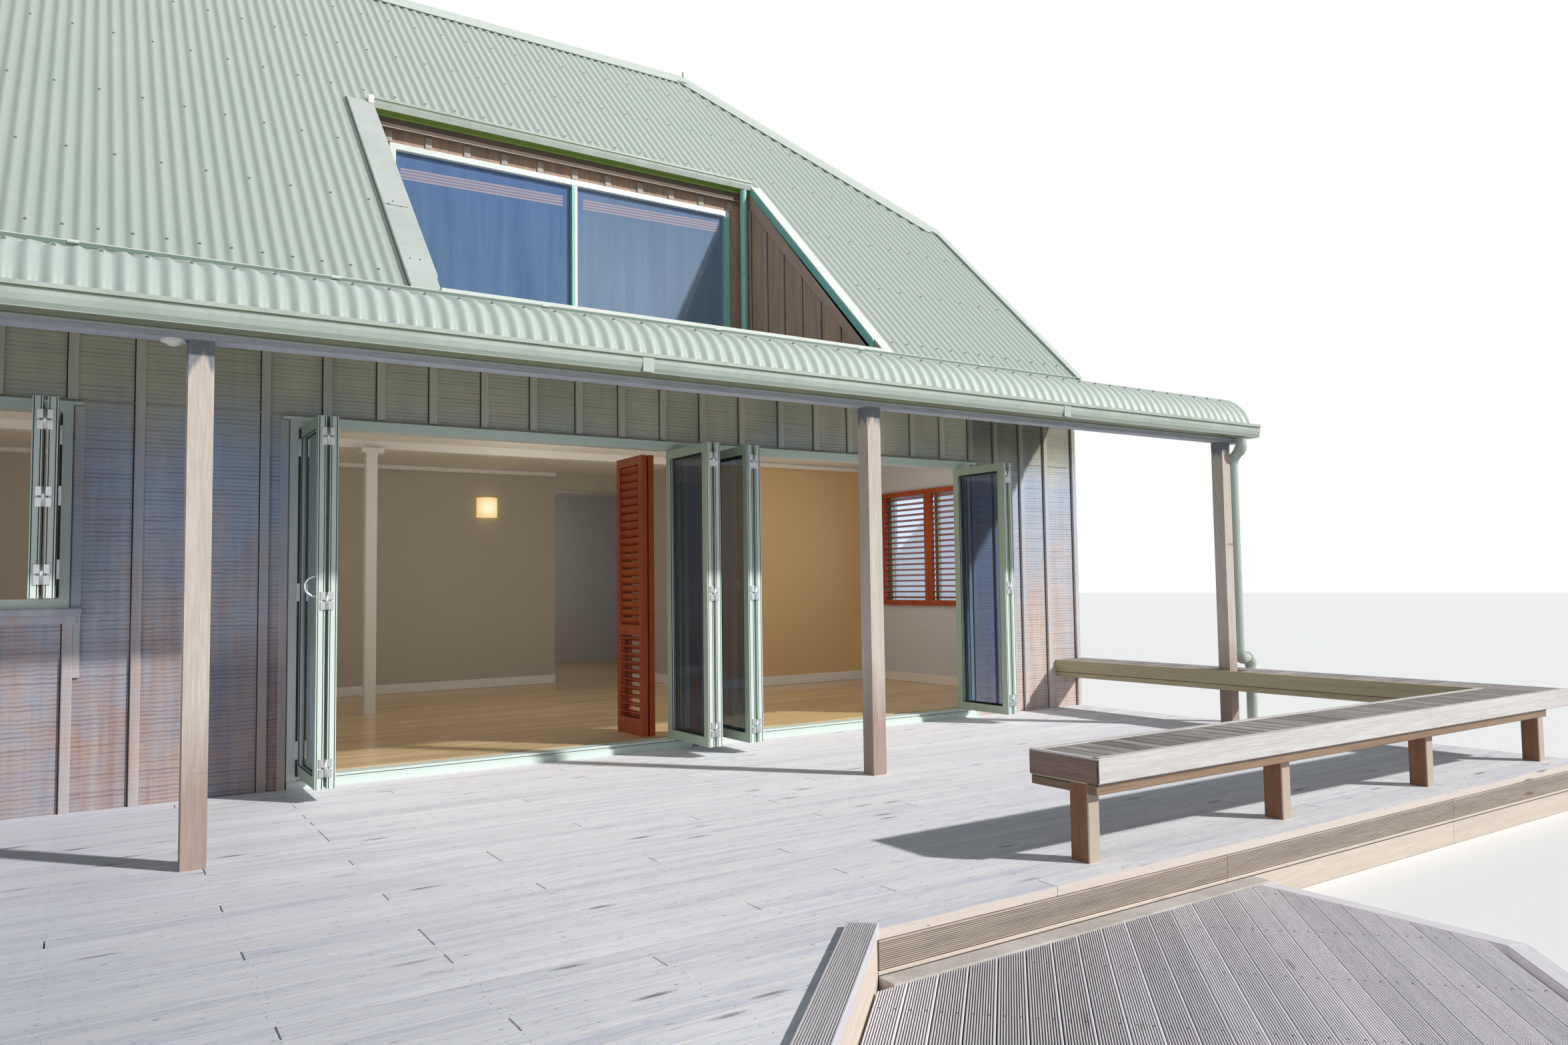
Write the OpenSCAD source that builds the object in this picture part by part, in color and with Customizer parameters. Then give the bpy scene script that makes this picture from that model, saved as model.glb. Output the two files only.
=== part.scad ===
/* [House] */
// Length of the house along the front wall
house_l = 10240; // [9800:10:11500]
// Depth of the house from front wall to back wall
house_w = 7400; // [7000:10:8200]
// Thickness of the outer walls
wall_t = 140; // [100:5:200]
// Height of the plinth under the walls
plinth_h = 200; // [150:5:230]
// How far the plinth stands back from the wall faces
plinth_inset = 25; // [0:5:60]
// Height of the finished floor inside
floor_z = 310; // [290:5:340]
// Height of the ceiling
ceiling_z = 2515; // [2450:5:2600]
// Thickness of the upper floor and ceiling
upper_floor_t = 150; // [100:5:160]

/* [Roof] */
// Height of the roof's surface over the front wall face
eave_z = 3085; // [3060:5:3200]
// Pitch of the main roof and its half hips in degrees
roof_pitch = 45; // [42:1:46]
// Plan length of each half hip
hip_run = 1900; // [1500:10:2200]
// How far the roof runs past the end walls
verge_over = 110; // [60:5:200]
// Thickness of the roofing sheet with its corrugations
sheet_t = 18; // [14:1:24]
// Depth of the rafters and lining
rafter_t = 120; // [90:5:140]
// How far the back roof runs past the back wall
back_over = 250; // [100:10:400]
// How far the front sheet laps over the verandah sheet
front_lap = 30; // [20:1:45]
// Width of a ridge or hip capping on each side
cap_w = 110; // [80:5:160]
// Thickness of cappings and flashings
flash_t = 8; // [4:1:12]
// Width of the flashing along each verge
verge_flash_w = 70; // [50:5:90]
// Height of the upturned end of the ridge cap
ridge_tab_h = 60; // [30:5:80]

/* [Dormer] */
// Left edge of the dormer recess
recess_x0 = -284; // [-400:1:-100]
// Width of the dormer recess
recess_w = 3310; // [2900:10:3400]
// How far the recess runs back from the front wall face
recess_run = 1900; // [1700:10:2000]
// How far the window stands behind the roof's cut edge
window_back = 70; // [50:5:120]
// Height of the recess floor
recess_floor_z = 2950; // [2900:5:2990]
// Thickness of the recess floor
recess_floor_t = 120; // [80:5:130]
// Thickness of the recess cheeks and window wall
cheek_t = 100; // [80:5:120]
// Width of the dormer window
dormer_window_w = 2980; // [2600:10:3000]
// Height of the dormer window's sill
dormer_sill_z = 3110; // [3060:5:3300]
// Height of the dormer window's head
dormer_head_z = 4700; // [4500:5:4720]
// Width of the flat flashing left of the recess
side_flash_w = 172; // [120:1:220]
// Width of the flat flashing right of the recess
right_flash_w = 95; // [60:5:120]
// How far short of the recess's back the flashings beside it end
flash_end = 75; // [0:5:120]
// Depth of the green boards under the recess's raking edges
rake_h = 80; // [60:5:100]
// Thickness of those boards
rake_t = 12; // [8:1:20]
// How far the dormer window's frame stands out from its wall
dormer_frame_out = 12; // [0:1:20]
// Depth of the dormer window's frame
dormer_frame_d = 92; // [70:1:110]
// How far the kerb stands over the verandah sheet
kerb_over = 12; // [5:1:20]
// Height of the dormer gutter
dormer_gutter_h = 80; // [60:1:90]
// Width of the dormer gutter
dormer_gutter_w = 90; // [70:1:100]
// Outer diameter of the dormer's downpipe
dormer_pipe_d = 65; // [50:1:75]
// Distance of the dormer's downpipe from the right cheek
dormer_pipe_in = 75; // [60:1:100]

/* [Verandah] */
// Depth from the wall face to the front of the posts
verandah_d = 1595; // [1500:5:1800]
// Slope of the verandah roof in degrees
verandah_slope = 15; // [13:1:16]
// Height of the verandah sheet's surface at the wall
verandah_z = 3036; // [3020:1:3040]
// Length in plan of the straight stretch before the bullnose
bull_start = 1430; // [1350:5:1460]
// Outer radius of the bullnose
bull_r = 300; // [260:5:320]
// Angle at which the bullnose ends
bull_end = 80; // [70:1:85]
// Size of the square posts
post_s = 90; // [80:5:110]
// Underside of the verandah beam
beam_z = 2297; // [2270:1:2320]
// Height of the verandah beam
beam_h = 200; // [150:5:205]
// Distance of the end posts from the house corners
post_end = 188; // [150:1:300]
// How far the third post stands right of an even spacing
post_shift = 46; // [0:1:80]
// Number of verandah rafters
verandah_rafter_count = 10; // [6:1:14]
// Width of the gutter
gutter_w = 125; // [110:1:140]
// Height of the gutter
gutter_h = 92; // [80:1:100]
// Height of the verandah gutter's top edge
gutter_top = 2422; // [2410:1:2430]
// How far the verandah sheet runs past the house corners
verandah_over = 60; // [40:1:80]
// How far the gutter runs past the house corners
gutter_over = 46; // [0:1:60]
// Thickness of a verandah rafter
verandah_rafter_w = 45; // [35:1:60]
// Outer diameter of the verandah's downpipe
pipe_d = 75; // [65:1:85]
// Radius of the downpipe's bends at its middle
bend_r = 60; // [45:1:80]
// How far the downpipe's outlet hangs under the gutter
outlet_drop = 60; // [50:5:90]
// Angle of the downpipe's jog back to the post
jog_angle = 45; // [40:1:50]
// How far the middle of the downpipe stands behind the posts' faces
pipe_back = 10; // [5:1:20]
// How much further back its lower stretch stands
low_pipe_back = 41; // [20:1:60]
// Height of the downpipe's level run over the bench
pipe_run_z = 725; // [710:1:760]
// Size of the light under the beam
light_d = 90; // [70:1:110]
// Distance of the light from the second post
light_side = 4; // [2:1:40]

/* [Doors and windows] */
// Left edge of the first folding door set
set1_x0 = -1083; // [-1150:1:-1050]
// Width of a folding door set
set_w = 2450; // [2400:10:2480]
// Width of the post between the two sets
mullion_w = 90; // [80:1:120]
// Height of the heads of doors and front window
head_z = 2250; // [2200:5:2260]
// Face width of a door or window frame
frame_w = 46; // [35:1:60]
// Depth of a door or window frame
frame_d = 105; // [80:5:120]
// How far door and window frames stand out from the front wall
frame_out = 8; // [0:1:12]
// Length of a folding leaf
leaf_w = 545; // [480:5:560]
// Thickness of a folding leaf
leaf_t = 40; // [32:1:44]
// Gap between two folded leaves
leaf_gap = 18; // [12:1:24]
// Gap between a folded leaf and the jamb beside it
leaf_side = 8; // [4:1:20]
// How far a folded leaf reaches into its frame
leaf_in = 30; // [20:1:60]
// Gap over and under a leaf, where its pivots are
leaf_play = 6; // [3:1:10]
// Width of a leaf's stiles and rails
stile_w = 58; // [45:1:70]
// Height of a hinge between two leaves
hinge_h = 90; // [60:1:110]
// Distance of the upper and lower hinges from a leaf's ends
hinge_end = 60; // [40:1:120]
// Height of the middle of the door handle
handle_z = 1330; // [1200:5:1400]
// Half the height of the door handle
handle_r = 50; // [40:1:60]
// Right edge of the front window
front_window_x1 = -2066; // [-2200:1:-2000]
// Width of the front window
front_window_w = 2440; // [2000:10:2500]
// Height of the front window's sill
front_sill_z = 1240; // [1100:5:1300]
// Thickness of the glass
glass_t = 8; // [6:1:12]
// How far the flashing over the doors stands out
drip_out = 35; // [25:1:50]
// How far its front edge hangs down
drip_h = 12; // [6:1:20]
// How far that flashing runs past the frames
drip_over = 40; // [20:1:60]
// Height of the stepped nose of the door sills
sill_nose = 24; // [15:1:30]
// How far the foot of the sills stands out
sill_out = 15; // [8:1:25]
// Width of the window in each end wall
end_window_w = 1450; // [1200:10:1600]
// Height of the sill of the end windows
end_sill_z = 1080; // [1000:5:1200]
// Height of the head of the end windows
end_head_z = 2225; // [2100:5:2300]
// Distance of the end window's centre in front of the ridge
end_window_y = -1980; // [-2200:10:-1800]
// Height of the upper end windows' sills over the upper floor
upper_sill = 850; // [800:5:860]
// Width of each upper end window
upper_window_w = 1200; // [900:10:1400]
// Height of the upper end window
upper_window_h = 1100; // [900:10:1200]
// Width of each back window
back_window_w = 1450; // [1200:10:1600]
// Spacing of the three back windows
back_window_step = 2400; // [2000:10:3200]
// Depth of the frames of end and back windows
window_frame_d = 80; // [60:5:110]
// How far those frames stand out from the walls
window_out = 5; // [0:1:10]

/* [Inside] */
// Distance of the back partition behind the ridge line
partition_y = 700; // [400:10:1000]
// Thickness of the partitions
partition_t = 100; // [80:5:120]
// Left edge of the inner doorway
doorway_x0 = 2139; // [2000:1:2200]
// Width of the inner doorway
doorway_w = 860; // [760:10:950]
// Height of the inner doorway above the floor
doorway_h = 2025; // [1950:5:2050]
// Distance of the right room's back wall in front of the ridge line
room_wall_y = -1050; // [-1100:10:-950]
// Size of the inner column
column_s = 85; // [70:5:110]
// Centre of the inner column along the front
column_x = -54; // [-200:1:100]
// Centre of the inner column from the ridge line
column_y = -900; // [-1000:10:-700]
// Height of the inner beam over the column
inner_beam_h = 60; // [40:5:100]
// Height of the folding shutter
shutter_h = 1880; // [1800:5:1900]
// Width of a shutter leaf
shutter_w = 400; // [350:5:450]
// Thickness of a shutter leaf
shutter_t = 38; // [30:1:40]
// Width of the stiles of a shutter leaf
shutter_stile = 50; // [40:1:60]
// Gap between the two shutter leaves
shutter_gap = 14; // [6:1:30]
// Distance of the shutter from the post between the door sets
shutter_side = 250; // [200:5:300]
// Gap between the shutter and the front wall
shutter_back = 60; // [40:5:100]
// Height of the lower louvred panel of the folding shutter
louvre_low_h = 556; // [450:1:650]
// Tilt of the louvres in the lower panel in degrees
louvre_low_tilt = 25; // [10:1:40]
// Tilt of the louvres in the upper panel in degrees
louvre_top_tilt = 62; // [45:1:65]
// Tilt of the louvres at the end window in degrees
louvre_window_tilt = 12; // [0:1:30]
// Spacing of the louvres
louvre_step = 53; // [45:1:65]
// Width of a louvre
louvre_w = 50; // [40:1:56]
// Thickness of a louvre
louvre_t = 8; // [6:1:10]
// Size of the wall lamp
lamp_w = 200; // [150:1:240]
// How far the wall lamp stands out
lamp_d = 90; // [60:1:110]
// Centre of the wall lamp along the wall
lamp_x = 1413; // [1300:1:1500]
// Height of the wall lamp's centre
lamp_z = 2118; // [2000:1:2150]

/* [Deck] */
// Height of the upper deck
deck_z = 250; // [240:5:270]
// Depth of the upper deck in front of the wall
deck_d = 3668; // [3500:4:3900]
// Corner of the step along the front
step_x = 41; // [0:1:200]
// How far the left part of the deck runs on past the step
deck_more = 1432; // [1200:4:1800]
// Thickness of the deck boards
board_t = 32; // [25:1:40]
// Height of the lower deck
low_z = 100; // [90:1:120]
// Right edge of the lower deck
low_x1 = 1962; // [1800:1:2200]
// How far the lower deck's right corner is cut off
low_cut = 450; // [300:10:600]
// Size of the kerb timber across
kerb_w = 98; // [80:1:110]
// How far the kerb timber stands above the deck
kerb_up = 20; // [10:1:40]
// Thickness of a deck joist
joist_t = 45; // [35:1:50]
// Thickness of the boards that close the deck's edges
skirt_t = 30; // [20:1:40]
// Height of the fascia board at the step
fascia_h = 92; // [70:1:100]
// How far the lower strip stands back from the fascia board
strip_in = 8; // [4:1:15]
// Height of the concrete lip at the foot of the step
lip_z = 106; // [100:1:112]
// Width of the lip in front of the step
lip_w = 70; // [50:1:90]

/* [Benches] */
// Height of the benches
bench_z = 646; // [620:1:680]
// Width of the bench seats
bench_w = 345; // [342:1:360]
// Left end of the front bench
bench_x0 = 1143; // [1100:1:1300]
// How far the benches run past the house corner
bench_over = 51; // [40:1:60]
// Distance of the front bench from the deck's front edge
bench_back = 78; // [60:1:120]
// Height of the seat's fascia
seat_fascia_h = 96; // [80:1:110]
// Height of the rail under the seat
seat_rail_h = 42; // [30:1:50]
// How far the rail under the seat stands back
rail_in = 12; // [5:1:20]
// Thickness of that rail
rail_t = 45; // [35:1:45]
// How far rail and first leg stand back from the bench's end
rail_end = 4; // [0:1:30]
// Front width of a bench leg
leg_w = 65; // [50:1:90]
// Depth of a bench leg
leg_d = 90; // [80:1:110]
// Number of bench legs
leg_count = 4; // [3:1:5]

/* [Hidden] */
$fn = 48;
hl = house_l / 2;
hw = house_w / 2;
tan_p = tan(roof_pitch);
cos_p = cos(roof_pitch);
sheet_v = sheet_t / cos_p;
rafter_v = rafter_t / cos_p;
ridge_z = eave_z + hw * tan_p;
verge_x = hl + verge_over;
barge_t = 30;
frame_x = verge_x - barge_t;
hip_y = hip_run;
hip_z = ridge_z - hip_y * tan_p;
gable_over = verge_over - barge_t;
front_y = -hw;
back_y = hw;
inner_y = hw - wall_t;
inner_x = hl - wall_t;
recess_x1 = recess_x0 + recess_w;
recess_y = front_y + recess_run;
window_y = recess_y + window_back;
post_y = front_y - verandah_d;
set2_x0 = set1_x0 + set_w + mullion_w;
set1_x1 = set1_x0 + set_w;
set2_x1 = set2_x0 + set_w;
front_window_x0 = front_window_x1 - front_window_w;
bay = (house_l - 2 * post_end) / 3;
leaf_z0 = floor_z + leaf_play;
leaf_z1 = head_z - frame_w - leaf_play;
window_leaf_z0 = front_sill_z + frame_w + leaf_play;
room_wall_x = doorway_x0 + doorway_w;
slab_reach = front_lap + back_over + verge_over;
// Height over which every cut in plan clears the roof
plan_h = ridge_z + cap_w;
step_y = front_y - deck_d;
low_y = step_y - deck_more;
bench_y0 = step_y + bench_back;
bench_x1 = hl + bench_over;
bench2_x0 = bench_x1 - bench_w;
// Gap between pieces that stand close to each other, and clearance of the notch round the end post
play = 0.3;
gutter_play = 2;
gutter_t = 5;

// Box from one corner to the opposite one
module block(x0, x1, y0, y1, z0, z1) {
    translate([x0, y0, z0])
        cube([x1 - x0, y1 - y0, z1 - z0]);
}

// Profile given as points in Y and Z, run along X
module along_x(x0, x1, points) {
    translate([x0, 0, 0])
        rotate([90, 0, 90])
            linear_extrude(x1 - x0)
                polygon(points);
}

// Profile given as points in X and Z, run along Y
module along_y(y0, y1, points) {
    translate([0, y1, 0])
        rotate([90, 0, 0])
            linear_extrude(y1 - y0)
                polygon(points);
}

// Height of the front slope's surface at a place across the house
function slope_z(y) = eave_z + (y + hw) * tan_p;

// Height of the front slope's rafters, top and underside
function rafter_top(y) = slope_z(y) - sheet_v;
function rafter_low(y) = slope_z(y) - sheet_v - rafter_v;

// Ring with an open middle, lying in X and Z, for frames in a front or back wall
module ring_xz(x0, x1, y0, y1, z0, z1, w) {
    difference() {
        block(x0, x1, y0, y1, z0, z1);
        block(x0 + w, x1 - w, y0 - 1, y1 + 1, z0 + w, z1 - w);
    }
}

// Ring with an open middle, lying in Y and Z
module ring_yz(x0, x1, y0, y1, z0, z1, w) {
    difference() {
        block(x0, x1, y0, y1, z0, z1);
        block(x0 - 1, x1 + 1, y0 + w, y1 - w, z0 + w, z1 - w);
    }
}

module foundation() {
    color("gray")
        block(-hl + plinth_inset, hl - plinth_inset, front_y + plinth_inset, back_y - plinth_inset,
            0, plinth_h);
}

module floor_slab() {
    color("peru")
        block(-inner_x, inner_x, -inner_y, inner_y, plinth_h, floor_z);
}

module upper_floor() {
    color("white")
        block(-inner_x, inner_x, -inner_y, inner_y, ceiling_z, ceiling_z + upper_floor_t);
}

// Stretch of the front wall from the plinth up to the heads
module low_wall(x0, x1, top) {
    color("slategray")
        block(x0, x1, front_y, -inner_y, plinth_h, top);
}

module front_wall_left() {
    low_wall(-hl, front_window_x0, head_z);
}

module front_wall_sill() {
    low_wall(front_window_x0, front_window_x1, front_sill_z);
}

module front_wall_pier() {
    low_wall(front_window_x1, set1_x0, head_z);
}

module door_mullion() {
    low_wall(set2_x0 - mullion_w, set2_x0, head_z);
}

module front_wall_right() {
    low_wall(set2_x1, hl, head_z);
}

module front_wall_head() {
    color("slategray")
        along_x(-hl, hl, [[front_y, head_z], [-inner_y, head_z], [-inner_y, rafter_low(-inner_y)],
            [front_y, rafter_low(front_y)]]);
}

// Centres of the three back windows along the house
back_window_xs = [-back_window_step, 0, back_window_step];

module back_wall() {
    color("slategray")
        difference() {
            along_x(-hl, hl, [[inner_y, plinth_h], [back_y, plinth_h], [back_y, rafter_low(front_y)],
                [inner_y, rafter_low(-inner_y)]]);
            for (x = back_window_xs)
                block(x - back_window_w / 2, x + back_window_w / 2, inner_y - 1, back_y + 1,
                    end_sill_z, end_head_z);
        }
}

// Level top of an end wall under the half hip
gable_top = hip_z + gable_over * tan_p + barge_t * tan_p - sheet_v - rafter_v;
gable_y = (gable_top - rafter_low(0)) / tan_p;
upper_sill_z = ceiling_z + upper_floor_t + upper_sill;

module end_wall(side) {
    color("slategray")
        difference() {
            mirror([side < 0 ? 1 : 0, 0, 0])
                along_x(inner_x, hl, [[-inner_y, plinth_h], [inner_y, plinth_h],
                    [inner_y, rafter_low(-inner_y)], [-gable_y, gable_top], [gable_y, gable_top],
                    [-inner_y, rafter_low(-inner_y)]]);
            block(-verge_x, verge_x, end_window_y - end_window_w / 2, end_window_y + end_window_w / 2,
                end_sill_z, end_head_z);
            block(-verge_x, verge_x, -upper_window_w / 2, upper_window_w / 2, upper_sill_z,
                upper_sill_z + upper_window_h);
        }
}

module partition_left() {
    color("wheat")
        block(-inner_x, doorway_x0, partition_y, partition_y + partition_t, floor_z, ceiling_z);
}

module partition_head() {
    color("wheat")
        block(doorway_x0, room_wall_x, partition_y, partition_y + partition_t, floor_z + doorway_h,
            ceiling_z);
}

module partition_return() {
    color("wheat")
        block(room_wall_x, room_wall_x + partition_t, room_wall_y, partition_y + partition_t, floor_z,
            ceiling_z);
}

module room_back_wall() {
    color("wheat")
        block(room_wall_x + partition_t, inner_x, room_wall_y, room_wall_y + partition_t, floor_z,
            ceiling_z);
}

// Column with a capital under a shallow beam
module inner_column() {
    cap_h = 40;
    cap_s = column_s * 2;
    half = column_s / 2;
    color("white") {
        block(column_x - half, column_x + half, column_y - half, column_y + half, floor_z,
            ceiling_z - inner_beam_h - cap_h);
        block(column_x - cap_s / 2, column_x + cap_s / 2, column_y - cap_s / 2, column_y + cap_s / 2,
            ceiling_z - inner_beam_h - cap_h, ceiling_z - inner_beam_h);
        block(-inner_x, room_wall_x, column_y - half, column_y + half, ceiling_z - inner_beam_h,
            ceiling_z);
    }
}

// Shade bowed out from the partition
module wall_lamp() {
    half = lamp_w / 2;
    bow_r = lamp_w * 0.6;
    color("khaki")
        translate([lamp_x, partition_y, lamp_z - half])
            intersection() {
                translate([-half, -lamp_d, 0])
                    cube([lamp_w, lamp_d, lamp_w]);
                translate([0, bow_r - lamp_d, 0])
                    cylinder(r = bow_r, h = lamp_w);
            }
}

// Slab under the front slope between two depths below its surface, over all of the plan
module front_slab(top, low) {
    far = front_y - slab_reach;
    along_x(-verge_x, verge_x, [[far, slope_z(far) - top], [0, slope_z(0) - top], [0, slope_z(0) - low],
        [far, slope_z(far) - low]]);
}

// Slab under the right half hip between two depths below its surface
module hip_slab(top, low) {
    along_y(-hip_y, hip_y, [[verge_x, hip_z - top], [verge_x - hip_y, ridge_z - top],
        [verge_x - hip_y, ridge_z - low], [verge_x, hip_z - low]]);
}

// Plan of the front slope: up to the ridge and the two hips
module front_plan(x, eave) {
    cut = verge_x - x;
    linear_extrude(plan_h)
        polygon([[-x, eave], [x, eave], [x, -hip_y + cut], [verge_x - hip_y, 0], [-verge_x + hip_y, 0],
            [-x, -hip_y + cut]]);
}

// Plan of the right half hip
module hip_plan(x) {
    cut = verge_x - x;
    linear_extrude(plan_h)
        polygon([[x, -hip_y + cut], [x, hip_y - cut], [verge_x - hip_y, 0]]);
}

// Opening of the dormer recess in the front slope, widened on each side
module recess_cut(side) {
    block(recess_x0 - side, recess_x1 + side, front_y - slab_reach, recess_y, 0, ridge_z);
}

module front_rafters() {
    color("burlywood")
        difference() {
            intersection() {
                front_slab(sheet_v, sheet_v + rafter_v);
                front_plan(frame_x, front_y);
            }
            recess_cut(cheek_t);
        }
}

module front_roof_sheet() {
    color("darkseagreen")
        difference() {
            intersection() {
                front_slab(0, sheet_v);
                front_plan(verge_x, front_y - front_lap);
            }
            recess_cut(0);
        }
}

module back_rafters() {
    color("burlywood")
        mirror([0, 1, 0])
            intersection() {
                front_slab(sheet_v, sheet_v + rafter_v);
                front_plan(frame_x, front_y - back_over);
            }
}

module back_roof_sheet() {
    color("darkseagreen")
        mirror([0, 1, 0])
            intersection() {
                front_slab(0, sheet_v);
                front_plan(verge_x, front_y - back_over - front_lap);
            }
}

module hip_rafters() {
    color("burlywood")
        for (side = [0, 1])
            mirror([side, 0, 0])
                intersection() {
                    hip_slab(sheet_v, sheet_v + rafter_v);
                    hip_plan(frame_x);
                }
}

module hip_sheets() {
    color("darkseagreen")
        for (side = [0, 1])
            mirror([side, 0, 0])
                intersection() {
                    hip_slab(0, sheet_v);
                    hip_plan(verge_x);
                }
}

// Boards that close the rafters at the verges and at the half hips
module barge_boards() {
    color("darkseagreen")
        for (side = [0, 1])
            mirror([side, 0, 0]) {
                intersection() {
                    front_slab(sheet_v, sheet_v + rafter_v);
                    block(frame_x, verge_x, front_y, -hip_y, 0, ridge_z);
                }
                mirror([0, 1, 0])
                    intersection() {
                        front_slab(sheet_v, sheet_v + rafter_v);
                        block(frame_x, verge_x, front_y - back_over, -hip_y, 0, ridge_z);
                    }
                intersection() {
                    hip_slab(sheet_v, sheet_v + rafter_v);
                    block(frame_x, verge_x, -hip_y, hip_y, 0, ridge_z);
                }
            }
}

// Plan strip run up to roof height
module plan_strip(points) {
    linear_extrude(ridge_z + flash_t * 2)
        polygon(points);
}

// Caps over the ridge and the hips and flashings along the verges: thin sheets that lie on the slopes
module roof_caps() {
    cap_v = flash_t / cos_p;
    strip = cap_w * sqrt(2);
    top_x = verge_x - hip_y;
    color("darkseagreen") {
        along_x(-top_x, top_x, [[-cap_w, ridge_z - cap_w * tan_p], [0, ridge_z],
            [cap_w, ridge_z - cap_w * tan_p], [cap_w, ridge_z - cap_w * tan_p + cap_v],
            [0, ridge_z + cap_v], [-cap_w, ridge_z - cap_w * tan_p + cap_v]]);
        for (side = [0, 1], back = [0, 1])
            mirror([side, 0, 0])
                mirror([0, back, 0]) {
                    intersection() {
                        front_slab(-cap_v, 0);
                        plan_strip([[verge_x, -hip_y], [top_x, 0], [top_x - strip, 0],
                            [verge_x, -hip_y - strip]]);
                    }
                    intersection() {
                        hip_slab(-cap_v, 0);
                        plan_strip([[verge_x, -hip_y], [verge_x, -hip_y + strip], [top_x + strip, 0],
                            [top_x, 0]]);
                    }
                    intersection() {
                        front_slab(-cap_v, 0);
                        block(verge_x - verge_flash_w, verge_x, front_y - front_lap - back * back_over,
                            -hip_y - strip / 2, 0, ridge_z);
                    }
                }
        for (side = [-1, 1])
            block(side * top_x - flash_t / 2, side * top_x + flash_t / 2, -flash_t * 2, flash_t * 2,
                ridge_z - flash_t * 2, ridge_z + ridge_tab_h);
    }
}

module dormer_floor() {
    color("gray")
        block(recess_x0 - cheek_t, recess_x1 + cheek_t, -inner_y, window_y + cheek_t,
            recess_floor_z - recess_floor_t, recess_floor_z);
}

module dormer_cheeks() {
    color("sienna")
        for (x = [recess_x0 - cheek_t, recess_x1])
            along_x(x, x + cheek_t, [[front_y, rafter_low(front_y)], [-inner_y, rafter_low(-inner_y)],
                [-inner_y, recess_floor_z], [window_y, recess_floor_z], [window_y, rafter_low(window_y)],
                [recess_y, rafter_low(recess_y)], [recess_y, rafter_top(recess_y)],
                [front_y, rafter_top(front_y)]]);
}

module dormer_kerb() {
    back_h = 45;
    color("darkseagreen")
        along_x(recess_x0, recess_x1, [[front_y, rafter_low(front_y)], [-inner_y, rafter_low(-inner_y)],
            [-inner_y, rafter_low(-inner_y) + back_h], [front_y, verandah_z + kerb_over]]);
}

// Middle of the dormer recess along the front
dormer_x = (recess_x0 + recess_x1) / 2;

module dormer_wall() {
    color("sienna")
        difference() {
            along_x(recess_x0 - cheek_t, recess_x1 + cheek_t, [[window_y, recess_floor_z],
                [window_y + cheek_t, recess_floor_z], [window_y + cheek_t, rafter_low(window_y + cheek_t)],
                [window_y, rafter_low(window_y)]]);
            block(dormer_x - dormer_window_w / 2, dormer_x + dormer_window_w / 2, window_y - 1,
                window_y + cheek_t + 1, dormer_sill_z, dormer_head_z);
        }
}

module dormer_window() {
    x0 = dormer_x - dormer_window_w / 2;
    x1 = dormer_x + dormer_window_w / 2;
    y0 = window_y - dormer_frame_out;
    bar_in = 4;
    color("honeydew") {
        ring_xz(x0, x1, y0, y0 + dormer_frame_d, dormer_sill_z, dormer_head_z, frame_w);
        block(dormer_x - frame_w / 2, dormer_x + frame_w / 2, y0 + bar_in, y0 + dormer_frame_d - bar_in,
            dormer_sill_z + frame_w, dormer_head_z - frame_w);
    }
}

module dormer_glass() {
    half = dormer_window_w / 2 - frame_w;
    y0 = window_y - dormer_frame_out + (dormer_frame_d - glass_t) / 2;
    color("steelblue")
        for (x = [dormer_x - half, dormer_x + frame_w / 2])
            block(x, x + half - frame_w / 2, y0, y0 + glass_t, dormer_sill_z + frame_w,
                dormer_head_z - frame_w);
}

// Open trough with a rolled front edge, with its back on the face at y
module gutter_profile(x0, x1, y, z0, w, h) {
    t = gutter_t;
    bead = 8;
    bead_h = 18;
    foot = 10;
    along_x(x0, x1, [[y, z0 + h], [y, z0], [y - w + foot, z0], [y - w, z0 + h / 2],
        [y - w, z0 + h - bead_h - bead / 2], [y - w - bead, z0 + h - bead_h], [y - w - bead, z0 + h],
        [y - w + t, z0 + h],
        [y - w + t, z0 + h / 2], [y - w + foot + t, z0 + t], [y - t, z0 + t], [y - t, z0 + h]]);
    for (x = [x0, x1 - t])
        along_x(x, x + t, [[y, z0 + h], [y, z0], [y - w + foot, z0], [y - w, z0 + h / 2],
            [y - w, z0 + h]]);
}

// Small gutter under the cut edge of the roof over the dormer
dormer_gutter_z = rafter_top(recess_y) - dormer_gutter_h;

module dormer_gutter() {
    color("darkseagreen") {
        gutter_profile(recess_x0 + rake_t, recess_x1 - rake_t, recess_y, dormer_gutter_z, dormer_gutter_w,
            dormer_gutter_h);
        translate([recess_x1 - dormer_pipe_in, recess_y - dormer_gutter_w / 2, recess_floor_z])
            cylinder(d = dormer_pipe_d, h = dormer_gutter_z - recess_floor_z);
    }
}

// Flashings on the roof beside the recess, with boards down over the raking edges
module dormer_flashings() {
    cap_v = flash_t / cos_p;
    y0 = front_y - front_lap;
    y1 = recess_y - flash_end;
    color("honeydew")
        for (side = [0, 1]) {
            edge = side == 0 ? recess_x0 : recess_x1;
            wide = side == 0 ? -side_flash_w : right_flash_w;
            low_x = side == 0 ? edge : edge - rake_t;
            intersection() {
                front_slab(-cap_v, 0);
                block(min(edge, edge + wide), max(edge, edge + wide), y0, y1, 0, ridge_z);
            }
            along_x(low_x, low_x + rake_t, [[front_y + rake_h, slope_z(front_y + rake_h) + cap_v],
                [recess_y, slope_z(recess_y) + cap_v], [recess_y, slope_z(recess_y) - rake_h],
                [front_y + rake_h, verandah_z + kerb_over]]);
        }
}

// Where the bullnose begins, and the middle of its arc
bull_y = front_y - bull_start;
bull_z = verandah_z - bull_start * tan(verandah_slope);
arc_y = bull_y + bull_r * sin(verandah_slope);
arc_z = bull_z - bull_r * cos(verandah_slope);

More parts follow.
